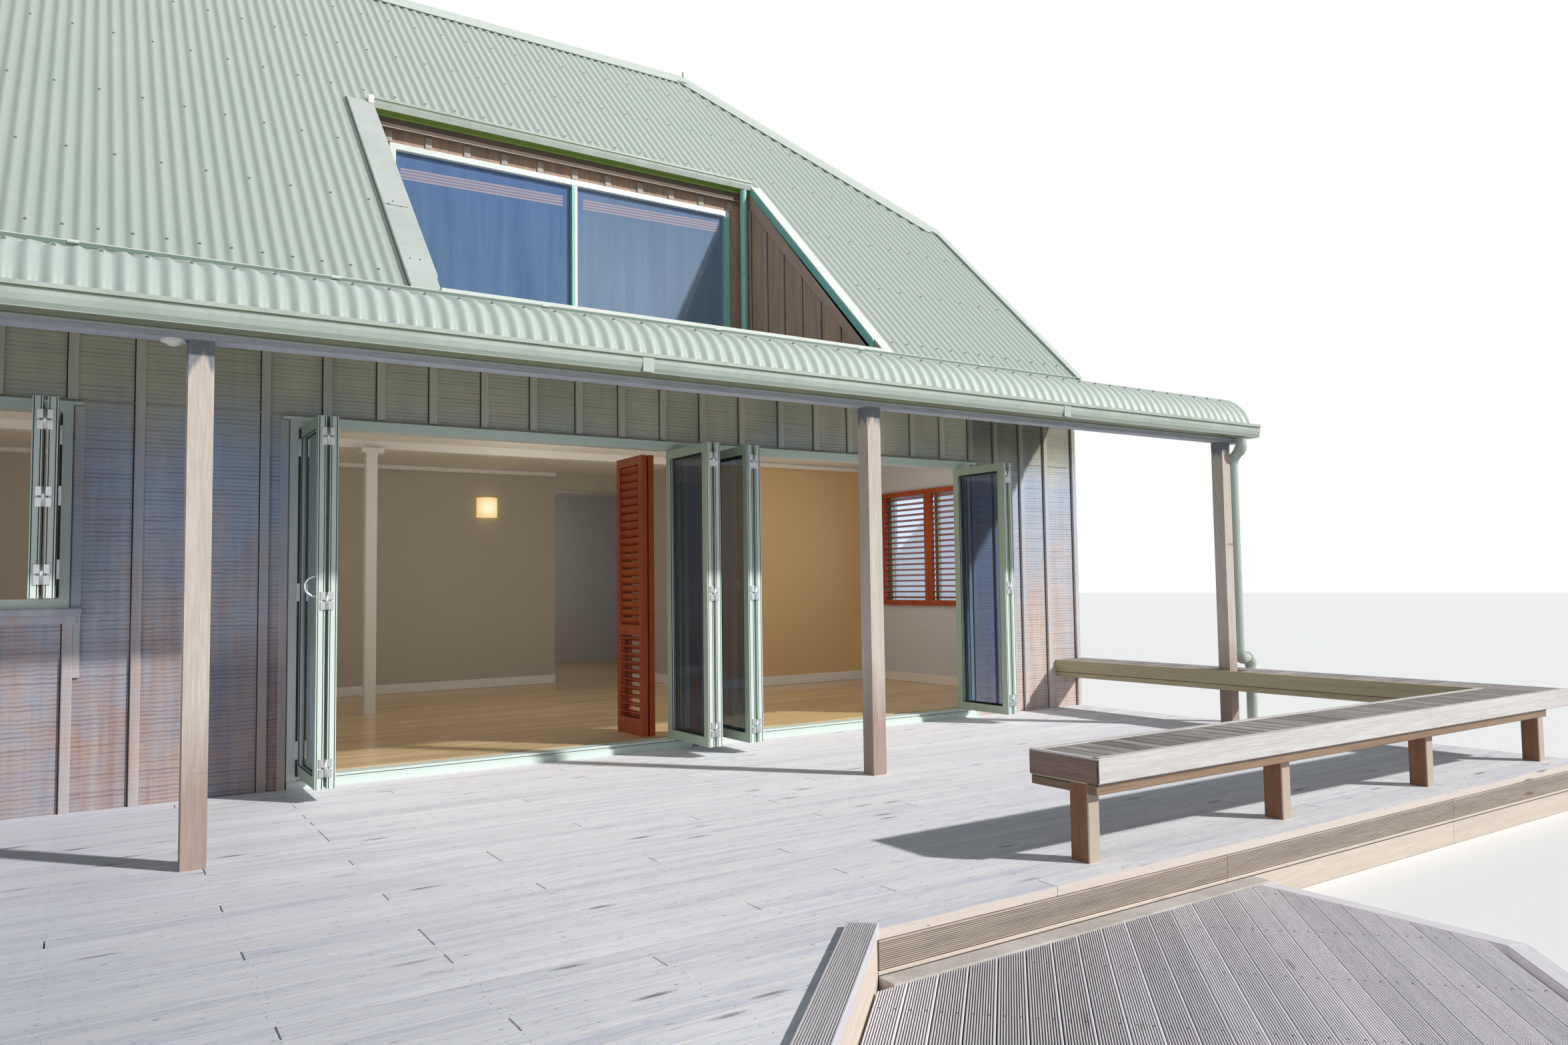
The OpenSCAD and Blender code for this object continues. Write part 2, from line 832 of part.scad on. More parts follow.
// Points along the verandah sheet at a depth below its surface
function sheet_line(depth) = concat(
    [[front_y, verandah_z - depth / cos(verandah_slope)]],
    [for (a = [verandah_slope : (bull_end - verandah_slope) / 12 : bull_end + 0.01])
        [arc_y - (bull_r - depth) * sin(a), arc_z + (bull_r - depth) * cos(a)]]);
function backwards(list) = [for (i = [len(list) - 1 : -1 : 0]) list[i]];

module verandah_roof() {
    color("darkseagreen")
        along_x(-hl - verandah_over, hl + verandah_over,
            concat(sheet_line(0), backwards(sheet_line(sheet_t))));
}

beam_top = beam_z + beam_h;
function under_sheet(y) = verandah_z - sheet_t / cos(verandah_slope) + (y - front_y) * tan(verandah_slope);

module verandah_rafters() {
    rise = (verandah_d - post_s) * tan(verandah_slope);
    step = (house_l - 2 * post_end - verandah_rafter_w) / (verandah_rafter_count - 1);
    end_h = 20;
    color("slategray")
        for (i = [0 : verandah_rafter_count - 1])
            let (x = -hl + post_end + i * step)
                along_x(x, x + verandah_rafter_w, [[front_y, under_sheet(front_y)],
                    [bull_y, under_sheet(bull_y)], [post_y + post_s / 2, beam_top + end_h],
                    [post_y + post_s / 2, beam_top], [post_y + post_s, beam_top],
                    [front_y, beam_top + rise]]);
}

gutter_z = gutter_top - gutter_h;

// Gutter of the verandah, and the one at the back under the sheet's lower edge
module gutters() {
    back_lip = back_y + back_over;
    color("darkseagreen") {
        gutter_profile(-hl - gutter_over, hl + gutter_over, post_y - gutter_play, gutter_z, gutter_w,
            gutter_h);
        mirror([0, 1, 0])
            gutter_profile(-verge_x, verge_x, -back_lip, rafter_low(front_y - back_over), gutter_w,
                gutter_h);
    }
}

module verandah_beam() {
    color("lightslategray")
        block(-hl, hl, post_y, post_y + post_s, beam_z, beam_top);
}

module verandah_posts() {
    color("rosybrown")
        for (i = [0 : 3])
            let (x = -hl + post_end + i * bay + (i == 2 ? post_shift : 0))
                block(x - post_s / 2, x + post_s / 2, post_y, post_y + post_s, deck_z, beam_z);
}

// Elbow of the downpipe: it starts at the origin, heading down, and turns towards a direction
module pipe_bend(direction, angle) {
    rotate([0, 0, direction])
        translate([bend_r, 0, 0])
            rotate([90, 180, 0])
                rotate_extrude(angle = angle)
                    translate([bend_r, 0])
                        circle(d = elbow_d);
}

// The same elbow the other way round: it ends at the origin, heading down
module pipe_bend_in(direction, angle) {
    mirror([0, 0, 1])
        pipe_bend(direction + 180, angle);
}

// Straight pipe that starts at the origin and is pushed into the elbows at its ends
module pipe_straight(length) {
    translate([0, 0, -pipe_push])
        cylinder(d = pipe_d, h = length + 2 * pipe_push);
}

elbow_d = pipe_d + 8;
pipe_push = 6;
pipe_x = hl - post_end + post_s / 2 + elbow_d / 2 + play;
pipe_y = post_y + pipe_back;
outlet_y = post_y - gutter_play - gutter_w / 2;
outlet_z = gutter_z - outlet_drop;
low_pipe_x = bench_x1 + elbow_d / 2 + play;
low_pipe_y = pipe_y + low_pipe_back;
jog_straight = (pipe_y - outlet_y - 2 * bend_r * (1 - cos(jog_angle))) / sin(jog_angle);
jog_drop = 2 * bend_r * sin(jog_angle) + jog_straight * cos(jog_angle);
run_len = norm([low_pipe_x - pipe_x, low_pipe_y - pipe_y]);
run_angle = atan2(low_pipe_y - pipe_y, low_pipe_x - pipe_x);

// Downpipe at the right end post: a jog from the gutter to the post, down, over the bench and down
module verandah_downpipe() {
    jog_z = outlet_z - jog_drop;
    drop_z = pipe_run_z + bend_r;
    foot_z = pipe_run_z - bend_r;
    color("darkseagreen") {
        translate([pipe_x, outlet_y, outlet_z]) {
            translate([0, 0, -pipe_push])
                cylinder(d = pipe_d, h = gutter_z - outlet_z + pipe_push);
            pipe_bend(90, jog_angle);
            translate([0, bend_r * (1 - cos(jog_angle)), -bend_r * sin(jog_angle)])
                rotate([jog_angle - 180, 0, 0])
                    pipe_straight(jog_straight);
        }
        translate([pipe_x, pipe_y, 0]) {
            translate([0, 0, jog_z])
                pipe_bend_in(90, jog_angle);
            translate([0, 0, drop_z])
                pipe_straight(jog_z - drop_z);
            translate([0, 0, drop_z])
                pipe_bend(run_angle, 90);
            rotate([0, 0, run_angle])
                translate([bend_r, 0, pipe_run_z])
                    rotate([0, 90, 0])
                        pipe_straight(run_len - 2 * bend_r);
        }
        translate([low_pipe_x, low_pipe_y, 0]) {
            translate([0, 0, foot_z])
                pipe_bend_in(run_angle, 90);
            cylinder(d = pipe_d, h = foot_z + pipe_push);
        }
    }
}

// Round light under the beam, left of the middle post at the left
module bulkhead_light() {
    rim = 10;
    dome = 16;
    light_x = -hl + post_end + bay - post_s / 2 - light_d / 2 - light_side;
    color("white")
        translate([light_x, post_y + post_s / 2, beam_z]) {
            translate([0, 0, -rim])
                cylinder(d = light_d, h = rim);
            intersection() {
                translate([0, 0, light_d / 2 - rim - dome])
                    sphere(d = light_d);
                translate([0, 0, -rim - light_d / 2])
                    cylinder(d = light_d, h = light_d / 2);
            }
        }
}

// Bent flashing over the head of a door set or the front window
module drip(x0, x1) {
    fall = 10;
    t = 4;
    y = front_y - drip_out;
    along_x(x0, x1, [[y, head_z - drip_h], [y, head_z + t], [front_y, head_z + t + fall],
        [front_y, head_z], [y + t, head_z], [y + t, head_z - drip_h]]);
}

// Frame of a folding door set with a stepped sill, and the flashing over it
module door_frame(x0, flash_x0, flash_x1) {
    x1 = x0 + set_w;
    y0 = front_y - frame_out;
    y1 = y0 + frame_d;
    color("darkseagreen") {
        difference() {
            block(x0, x1, y0, y1, deck_z, head_z);
            block(x0 + frame_w, x1 - frame_w, y0 - 1, y1 + 1, floor_z, head_z - frame_w);
        }
        block(x0, x1, y0 - sill_out, y0, deck_z, floor_z - sill_nose);
        drip(flash_x0, flash_x1);
    }
}

module left_door_frame() {
    door_frame(set1_x0, set1_x0 - drip_over, set2_x0 - mullion_w / 2);
}

module right_door_frame() {
    door_frame(set2_x0, set2_x0 - mullion_w / 2, set2_x1 + drip_over);
}

// Plan span of a folded leaf: it stands out from the frame, with its pivot end inside it
leaf_y1 = front_y + leaf_in;
leaf_y0 = leaf_y1 - leaf_w;

// Left edges of two folded leaves at the left or right jamb of a frame
function pair_xs(x0, x1, right) = let (
    inner = frame_w + leaf_side,
    pair = 2 * leaf_t + leaf_gap,
    x = right ? x1 - inner - pair : x0 + inner)
    [x, x + leaf_t + leaf_gap];

// The four stacks of the two door sets, and the two stacks of the front window
door_stacks = [pair_xs(set1_x0, set1_x1, false), pair_xs(set1_x0, set1_x1, true),
    pair_xs(set2_x0, set2_x1, false), pair_xs(set2_x0, set2_x1, true)];
window_stacks = [pair_xs(front_window_x0, front_window_x1, false),
    pair_xs(front_window_x0, front_window_x1, true)];

// Frame of one folding leaf, standing out from the wall
module leaf(x, z0, z1) {
    ring_yz(x, x + leaf_t, leaf_y0, leaf_y1, z0, z1, stile_w);
}

// Pane of one folding leaf
module leaf_pane(x, z0, z1) {
    mid = x + leaf_t / 2;
    block(mid - glass_t / 2, mid + glass_t / 2, leaf_y0 + stile_w, leaf_y1 - stile_w, z0 + stile_w,
        z1 - stile_w);
}

module door_leaves() {
    color("darkseagreen")
        for (xs = door_stacks)
            for (x = xs)
                leaf(x, leaf_z0, leaf_z1);
}

module door_glass() {
    color("steelblue")
        for (xs = door_stacks)
            for (x = xs)
                leaf_pane(x, leaf_z0, leaf_z1);
}

// Three hinges between two folded leaves, and the pivots at their feet and heads
module stack_hardware(xs, z0, z1) {
    z_mid = (z0 + z1 - hinge_h) / 2;
    pivot_d = 14;
    for (z = [z0 + hinge_end, z_mid, z1 - hinge_end - hinge_h])
        translate([xs[1] - leaf_gap / 2, leaf_y0 + leaf_gap / 2, z])
            cylinder(d = leaf_gap, h = hinge_h);
    for (x = xs)
        for (z = [z0 - leaf_play, z1])
            translate([x + leaf_t / 2, front_y + leaf_in / 3, z])
                cylinder(d = pivot_d, h = leaf_play);
}

// Bow handle on the outer face of the first leaf
module door_handle() {
    handle_t = 14;
    translate([door_stacks[0][0], leaf_y0 + stile_w / 2, handle_z])
        rotate([90, 90, 0])
            rotate_extrude(angle = -180)
                translate([handle_r, 0])
                    circle(d = handle_t);
}

module door_hardware() {
    color("silver") {
        for (xs = door_stacks)
            stack_hardware(xs, leaf_z0, leaf_z1);
        for (xs = window_stacks)
            stack_hardware(xs, window_leaf_z0, leaf_z1);
        door_handle();
    }
}

// Frame of the folding window at the left of the front wall, and the flashing over it
module front_window() {
    color("darkseagreen") {
        ring_xz(front_window_x0, front_window_x1, front_y - frame_out, front_y - frame_out + frame_d,
            front_sill_z, head_z, frame_w);
        drip(front_window_x0 - drip_over, front_window_x1 + drip_over);
    }
}

module window_leaves() {
    color("darkseagreen")
        for (xs = window_stacks)
            for (x = xs)
                leaf(x, window_leaf_z0, leaf_z1);
}

// How far the middle bar of an end or back window stands back inside its frame, and its depth
bar_in = 15;
bar_d = 50;
pane_in = bar_in + (bar_d - glass_t) / 2;

// Frame and middle bar of an end window at the right end, about a place along the wall
module end_window_frame(y, w, z0, z1) {
    x1 = hl + window_out;
    ring_yz(x1 - window_frame_d, x1, y - w / 2, y + w / 2, z0, z1, frame_w);
    block(x1 - bar_in - bar_d, x1 - bar_in, y - frame_w / 2, y + frame_w / 2, z0 + frame_w,
        z1 - frame_w);
}

module end_windows() {
    color("honeydew")
        for (side = [0, 1])
            mirror([side, 0, 0]) {
                end_window_frame(end_window_y, end_window_w, end_sill_z, end_head_z);
                end_window_frame(0, upper_window_w, upper_sill_z, upper_sill_z + upper_window_h);
            }
}

module back_windows() {
    y1 = back_y + window_out;
    color("honeydew")
        for (x = back_window_xs) {
            ring_xz(x - back_window_w / 2, x + back_window_w / 2, y1 - window_frame_d, y1, end_sill_z,
                end_head_z, frame_w);
            block(x - frame_w / 2, x + frame_w / 2, y1 - bar_in - bar_d, y1 - bar_in,
                end_sill_z + frame_w, end_head_z - frame_w);
        }
}

// Panes of an end window at the right end
module end_pane(y, w, z0, z1) {
    x1 = hl + window_out - pane_in;
    for (a = [y - w / 2 + frame_w, y + frame_w / 2])
        block(x1 - glass_t, x1, a, a + w / 2 - frame_w * 1.5, z0 + frame_w, z1 - frame_w);
}

module window_glass() {
    y1 = back_y + window_out - pane_in;
    color("steelblue") {
        for (side = [0, 1])
            mirror([side, 0, 0]) {
                end_pane(end_window_y, end_window_w, end_sill_z, end_head_z);
                end_pane(0, upper_window_w, upper_sill_z, upper_sill_z + upper_window_h);
            }
        for (x = back_window_xs)
            for (a = [x - back_window_w / 2 + frame_w, x + frame_w / 2])
                block(a, a + back_window_w / 2 - frame_w * 1.5, y1 - glass_t, y1,
                    end_sill_z + frame_w, end_head_z - frame_w);
        for (xs = window_stacks)
            for (x = xs)
                leaf_pane(x, window_leaf_z0, leaf_z1);
    }
}

// Louvred panel standing in Y and Z between two heights
module louvres(x, y0, y1, z0, z1, tilt) {
    count = floor((z1 - z0) / louvre_step);
    pitch = (z1 - z0) / count;
    let_in = 2;
    for (i = [0 : count - 1])
        translate([x, 0, z0 + (i + 0.5) * pitch])
            rotate([0, tilt, 0])
                block(-louvre_w / 2, louvre_w / 2, y0 - let_in, y1 + let_in, -louvre_t / 2,
                    louvre_t / 2);
}

// One leaf of the folding shutter: two louvred panels between stiles and rails
module shutter_leaf(x) {
    y0 = -inner_y + shutter_back;
    y1 = y0 + shutter_w;
    top_rail = 60;
    bottom_rail = 110;
    mid_rail = 70;
    low_z0 = floor_z + bottom_rail;
    mid_z = low_z0 + louvre_low_h;
    top_z = floor_z + shutter_h;
    mid_x = x + shutter_t / 2;
    difference() {
        block(x, x + shutter_t, y0, y1, floor_z, top_z);
        block(x - 1, x + shutter_t + 1, y0 + shutter_stile, y1 - shutter_stile, low_z0, mid_z);
        block(x - 1, x + shutter_t + 1, y0 + shutter_stile, y1 - shutter_stile, mid_z + mid_rail,
            top_z - top_rail);
    }
    louvres(mid_x, y0 + shutter_stile, y1 - shutter_stile, low_z0, mid_z, louvre_low_tilt);
    louvres(mid_x, y0 + shutter_stile, y1 - shutter_stile, mid_z + mid_rail, top_z - top_rail,
        louvre_top_tilt);
}

// Two louvred leaves folded back into the room beside the post between the sets
module inside_shutter() {
    x = set1_x1 - shutter_side;
    color("chocolate")
        for (i = [0, 1])
            shutter_leaf(x + i * (shutter_t + shutter_gap));
}

// Two louvred leaves inside the right end window
module window_shutters() {
    half_w = end_window_w / 2;
    side_gap = 2;
    color("sienna")
        for (s = [0, 1]) {
            y0 = end_window_y - half_w + s * half_w + side_gap;
            y1 = y0 + half_w - 2 * side_gap;
            ring_yz(inner_x - shutter_t, inner_x, y0, y1, end_sill_z, end_head_z, shutter_stile);
            louvres(inner_x - shutter_t / 2, y0 + shutter_stile, y1 - shutter_stile,
                end_sill_z + shutter_stile, end_head_z - shutter_stile, louvre_window_tilt);
        }
}

// Strip of the kerb timber in plan, along the slanting edge of the step
module kerb_strip() {
    translate([step_x, step_y])
        rotate(-135)
            translate([0, -kerb_w])
                square([deck_more * sqrt(2), kerb_w]);
}

// Plan of the upper deck drawn in from its outer edges, without the kerb timber
module deck_plan(inset) {
    difference() {
        polygon([[-hl + inset, front_y], [-hl + inset, low_y + inset], [step_x - deck_more, low_y + inset],
            [step_x, step_y], [step_x, step_y + inset], [hl - inset, step_y + inset],
            [hl - inset, front_y]]);
        translate([step_x, step_y])
            rotate(-135)
                translate([-kerb_w / 2, -kerb_w])
                    square([deck_more * 2, kerb_w * 3]);
    }
}

module upper_deck() {
    color("lightgray")
        translate([0, 0, deck_z - board_t])
            linear_extrude(board_t)
                deck_plan(0);
}

module deck_framing() {
    count = 22;
    color("tan")
        intersection() {
            linear_extrude(deck_z - board_t)
                deck_plan(skirt_t);
            for (i = [0 : count])
                let (x = -hl + skirt_t + i * (house_l - 2 * skirt_t - joist_t) / count)
                    block(x, x + joist_t, low_y, front_y, 0, deck_z - board_t);
        }
}

// Boards that close the deck's edges: two at the step, one on each outer side
module step_boards() {
    top = deck_z - board_t;
    color("peru") {
        block(step_x, hl, step_y, step_y + skirt_t, top - fascia_h, top);
        block(step_x, hl, step_y + strip_in, step_y + skirt_t, 0, top - fascia_h);
        block(-hl, -hl + skirt_t, low_y, front_y, 0, top);
        block(hl - skirt_t, hl, step_y + skirt_t, front_y, 0, top);
        block(-hl + skirt_t, step_x - deck_more - kerb_w * sqrt(2), low_y, low_y + skirt_t, 0, top);
    }
}

// Concrete at the foot of the step
module deck_lip() {
    color("silver")
        block(step_x, low_x1, step_y - lip_w, step_y + strip_in, 0, lip_z);
}

module deck_kerb() {
    color("tan")
        linear_extrude(deck_z + kerb_up)
            kerb_strip();
}

module lower_deck() {
    color("gray")
        linear_extrude(low_z)
            polygon([[step_x - lip_w, step_y - lip_w], [low_x1, step_y - lip_w], [low_x1, low_y + low_cut],
                [low_x1 - low_cut, low_y], [step_x - deck_more, low_y]]);
}

// Seat at the front, and the seat that runs back to the house, with the end post let into it
module benches() {
    low = bench_z - seat_fascia_h;
    seat_y1 = bench_y0 + bench_w;
    post_x = hl - post_end;
    rail_z = low - seat_rail_h;
    leg_x0 = bench_x0 + rail_end;
    leg_y0 = bench_y0 + rail_in + rail_t;
    rail2_x1 = bench2_x0 + rail_in + rail_t;
    last_leg_gap = 5;
    step = (rail2_x1 + last_leg_gap - leg_x0) / (leg_count - 1);
    color("tan") {
        difference() {
            union() {
                block(bench_x0, bench_x1, bench_y0, seat_y1, low, bench_z);
                block(bench2_x0, bench_x1, seat_y1, front_y, low, bench_z);
            }
            block(post_x - post_s / 2 - play, post_x + post_s / 2 + play, post_y - play,
                post_y + post_s + play, low - 1, bench_z + 1);
        }
        block(leg_x0, rail2_x1, bench_y0 + rail_in, leg_y0, rail_z, low);
        block(bench2_x0 + rail_in, rail2_x1, leg_y0, front_y, rail_z, low);
        for (i = [0 : leg_count - 1])
            let (x = leg_x0 + i * step)
                block(x, x + leg_w, leg_y0, leg_y0 + leg_d, deck_z, low);
    }
}

foundation();
floor_slab();  // floor
upper_floor();
front_wall_left();
front_wall_sill();
front_wall_pier();
door_mullion();
front_wall_right();
front_wall_head();
back_wall();
end_wall(-1);  // left_end_wall
end_wall(1);  // right_end_wall
partition_left();
partition_head();
partition_return();
room_back_wall();
inner_column();
wall_lamp();
front_rafters();
back_rafters();
hip_rafters();
front_roof_sheet();
back_roof_sheet();
hip_sheets();
barge_boards();
roof_caps();
dormer_floor();
dormer_cheeks();
dormer_kerb();
dormer_wall();
dormer_window();
dormer_glass();
dormer_gutter();
dormer_flashings();
verandah_roof();
verandah_rafters();
gutters();
verandah_beam();
verandah_posts();
verandah_downpipe();
bulkhead_light();
left_door_frame();  // door_frame_left
right_door_frame();  // door_frame_right
door_leaves();
door_glass();
door_hardware();
front_window();
window_leaves();
end_windows();
back_windows();
window_glass();
inside_shutter();
window_shutters();
upper_deck();
deck_framing();
step_boards();
deck_lip();
deck_kerb();
lower_deck();
benches();
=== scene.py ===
import math
import random
from functools import partialmethod

import bpy
from mathutils import Matrix, Vector


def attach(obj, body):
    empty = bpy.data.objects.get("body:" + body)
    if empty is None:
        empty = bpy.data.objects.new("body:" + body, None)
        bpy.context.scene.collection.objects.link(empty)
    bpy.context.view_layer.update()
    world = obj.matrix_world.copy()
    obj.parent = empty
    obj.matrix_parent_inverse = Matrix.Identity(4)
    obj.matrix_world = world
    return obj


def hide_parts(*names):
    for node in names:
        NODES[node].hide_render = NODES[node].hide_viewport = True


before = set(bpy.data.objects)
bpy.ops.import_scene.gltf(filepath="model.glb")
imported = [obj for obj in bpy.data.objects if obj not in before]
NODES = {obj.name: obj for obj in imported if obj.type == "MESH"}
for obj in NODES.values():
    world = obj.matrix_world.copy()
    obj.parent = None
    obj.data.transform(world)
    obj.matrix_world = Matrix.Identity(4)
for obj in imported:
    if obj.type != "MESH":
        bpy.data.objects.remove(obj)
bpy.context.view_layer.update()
rng = random.Random(11)

# Main sizes of the solids, in metres
HL = 5.12
FRONT = -3.7
BACK = 3.7
PLINTH = 0.2
FLOOR = 0.31
CEILING = 2.515
HEAD = 2.25
SILL = 1.24
EAVE = 3.085
RIDGE = EAVE - FRONT
VERGE = 5.23
HIP = 1.9
RECESS_X0 = -0.284
RECESS_X1 = 3.026
RECESS_Y = -1.8
WINDOW_Y = -1.73
RECESS_FLOOR = 2.95
DORMER_HEAD = 4.7
SHEET_V = 0.018 * math.sqrt(2)
RAFTER_V = 0.12 * math.sqrt(2)
POST_Y = -5.295
DECK = 0.25
STEP_X = 0.041
STEP_Y = -7.368
LOW_Y = -8.8
LOW_Z = 0.1
KERB_W = 0.098
KERB_RUN = 1.432
BENCH_Z = 0.646
BENCH_X0 = 1.143
BENCH_X1 = 5.171
BENCH_Y0 = -7.29
BENCH_W = 0.345
SET1 = (-1.083, 1.367)
SET2 = (1.457, 3.907)
FRONT_WINDOW = (-4.506, -2.066)
BACK_WINDOWS = (-2.4, 0, 2.4)
S45 = math.sqrt(0.5)

# Where colours change: the rooms' inner faces, the front wall's right panel (painted sun and shade) and the dormer
# window's middle (painted reflection, and the blind's centre)
INNER_X = 4.985
INNER_Y = 3.565
RIGHT_PANEL = 3.88
WINDOW_MID = 1.37

# The photo's camera: eye in metres, turns in degrees, focal length and width in pixels of the photo
EYE = (-2.034, -10.025, 1.313)
TURNS = (33.328, 3.245, -0.782)
FOCAL_PX = 1611.79
PHOTO_W = 2352


# ---------------------------------------------------------------- camera
def linked(name, data):
    obj = bpy.data.objects.new(name, data)
    bpy.context.scene.collection.objects.link(obj)
    return obj


def place_camera():
    data = bpy.data.cameras.new("camera")
    data.sensor_width = 36
    data.lens = data.sensor_width * FOCAL_PX / PHOTO_W
    data.clip_end = 200
    obj = linked("camera", data)
    yaw, pitch, roll = (math.radians(a) for a in TURNS)
    rz = Matrix(((math.cos(yaw), -math.sin(yaw), 0), (math.sin(yaw), math.cos(yaw), 0), (0, 0, 1)))
    rx = Matrix(((1, 0, 0), (0, math.cos(pitch), math.sin(pitch)), (0, -math.sin(pitch), math.cos(pitch))))
    ry = Matrix(((math.cos(roll), 0, math.sin(roll)), (0, 1, 0), (-math.sin(roll), 0, math.cos(roll))))
    back = (ry @ rx @ rz).transposed()
    right, away, up = (back @ Vector(v) for v in ((1, 0, 0), (0, -1, 0), (0, 0, 1)))
    obj.matrix_world = Matrix.Translation(EYE) @ Matrix((right, up, away)).transposed().to_4x4()
    bpy.context.scene.camera = obj


place_camera()


# ---------------------------------------------------------------- materials
def rgba(colour):
    """Linear colour of three bytes; a linear colour of four parts or a socket stays as it is."""
    if not isinstance(colour, tuple) or len(colour) == 4:
        return colour
    parts = [c / 255 for c in colour]
    return (*(c / 12.92 if c <= 0.04045 else ((c + 0.055) / 1.055) ** 2.4 for c in parts), 1)


class Shade:
    """A material with short calls for its nodes."""

    def __init__(self, name):
        self.mat = bpy.data.materials.new(name)
        self.mat.use_nodes = True
        self.tree = self.mat.node_tree
        self.bsdf = self.tree.nodes["Principled BSDF"]

    def fill(self, node, values):
        for k, v in values.items():
            if isinstance(v, bpy.types.NodeSocket):
                self.tree.links.new(v, node.inputs[k])
            else:
                node.inputs[k].default_value = v

    def node(self, kind, inputs=None, **props):
        n = self.tree.nodes.new("ShaderNode" + kind)
        for k, v in props.items():
            setattr(n, k, v)
        self.fill(n, inputs or {})
        return n

    def coords(self, kind="object"):
        if kind == "grain":
            return self.node("Attribute", attribute_name="grain").outputs["Vector"]
        return self.node("TexCoord").outputs["Object"]

    def scaled(self, vector, scale):
        return self.node("Mapping", {"Vector": vector, "Scale": scale}).outputs[0]

    def noise(self, vector, scale, detail=4, rough=0.6, distort=0.0):
        """Noise at one scale, or at a scale for each axis."""
        if isinstance(scale, tuple):
            vector, scale = self.scaled(vector, scale), 1.0
        return self.node("TexNoise", {"Vector": vector, "Scale": scale, "Detail": detail,
                                      "Roughness": rough, "Distortion": distort}).outputs["Fac"]

    def blend(self, fac, a, b, hi=0.7, lo=0.3):
        """From one colour at the low limit to the other at the high one."""
        n = self.node("ValToRGB", {"Fac": fac})
        for item, place, colour in zip(n.color_ramp.elements, (lo, hi), (a, b)):
            item.position = place
            item.color = rgba(colour)
        return n.outputs["Color"]

    def level(self, fac, lo, hi, a=0, b=1):
        return self.node("MapRange", {"Value": fac, "From Min": lo, "From Max": hi, "To Min": a,
                                      "To Max": b}).outputs["Result"]

    def mix(self, fac, a, b, blend="MIX"):
        return self.node("Mix", {0: fac, 6: rgba(a), 7: rgba(b)}, data_type="RGBA", blend_type=blend).outputs[2]

    def math(self, op, a, b):
        return self.node("Math", {0: a, 1: b}, operation=op).outputs[0]

    plus = partialmethod(math, "ADD")
    minus = partialmethod(math, "SUBTRACT")
    times = partialmethod(math, "MULTIPLY")
    over = partialmethod(math, "GREATER_THAN")
    under = partialmethod(math, "LESS_THAN")

    def within(self, value, lo, hi):
        """One where a value lies between two limits."""
        return self.times(self.over(value, lo), self.under(value, hi))

    def facing(self, axis, sign=1):
        """One where the surface faces along an axis of the object, else nothing; sign 0 takes both ways."""
        n = self.part(self.node("TexCoord").outputs["Normal"], axis)
        if sign < 1:
            n = self.times(n, -1.0) if sign else self.math("ABSOLUTE", n, 0.0)
        return self.level(n, 0.4, 0.6)

    def tint(self):
        return self.node("Attribute", attribute_name="tint").outputs["Fac"]

    def part(self, vector, axis):
        return self.node("SeparateXYZ", {"Vector": vector}).outputs[axis]

    def done(self, colour, rough=0.6, bump=None, depth=0.002, metal=0.0, **sockets):
        sockets.update({"Base Color": rgba(colour), "Roughness": rough, "Metallic": metal})
        if bump is not None:
            sockets["Normal"] = self.node("Bump", {"Height": bump, "Distance": depth, "Strength": 1.0}).outputs[0]
        self.fill(self.bsdf, sockets)
        return self.mat


def wood(name, light, dark, knots=None, along=None, across=14.0, rough=0.75, depth=0.0012, spread=0.35, coat=0.0,
         contrast=(0.32, 0.72), front=None, worn=0.0, bands=(), shine=0.5):
    """Streaks along an axis or along each board, which then has its own tint, and a few dark knots."""
    s = Shade(name)
    v = s.coords("grain" if along is None else "object")
    run = s.scaled(v, tuple(1.0 if i == (along or 0) else across for i in range(3)))
    fine = s.noise(run, 6.0, 6, 0.7, 0.4)
    broad = s.noise(run, 1.1, 3, 0.5)
    colour = s.blend(s.plus(s.times(fine, 0.65), s.times(broad, 0.35)), dark, light, contrast[1], contrast[0])
    if along is None:
        grey = s.blend(s.level(s.tint(), 0, 1), (1 - spread,) * 3 + (1,), (1, 1, 1, 1), 1, 0)
        colour = s.mix(1.0, colour, grey, "MULTIPLY")
    # Faces towards the front take the front colour: on the deck boards their edges' own tone, on the legs a painted
    # light on the lit fronts
    if front:
        colour = s.mix(s.times(s.facing(1, -1), 0.85), colour, front)
    if knots:
        spots = s.node("TexVoronoi", {"Vector": s.scaled(v, (2.4, 13.0, 13.0)), "Scale": 1.0,
                                      "Randomness": 1.0}).outputs["Distance"]
        smear = s.noise(v, (9.0, 60.0, 60.0), 5, 0.7)
        near = s.level(s.plus(spots, s.times(smear, 0.22)), 0.30, 0.16)
        rare = s.level(s.noise(s.scaled(v, (0.7, 2.9, 2.9)), 1.6, 2), 0.55 - worn, 0.63 - worn)
        colour = s.mix(s.times(s.times(near, rare), 0.8), colour, knots)
        specks = s.level(s.noise(v, (26.0, 90.0, 90.0), 3, 0.6), 0.73 - worn, 0.80 - worn)
        colour = s.mix(s.times(specks, 0.55), colour, knots)
    # Each band multiplies a tone between two places along an axis: painted shade on the deck and on the posts' tops,
    # and a browner foot on the posts
    for axis, a, b, tone in bands:
        place = s.part(s.coords(), axis)
        colour = s.mix(s.level(s.plus(place, s.times(broad, 0.3)), a, b), colour, tone, "MULTIPLY")
    return s.done(colour, rough, fine, depth, **{"Coat Weight": coat, "Specular IOR Level": shine})


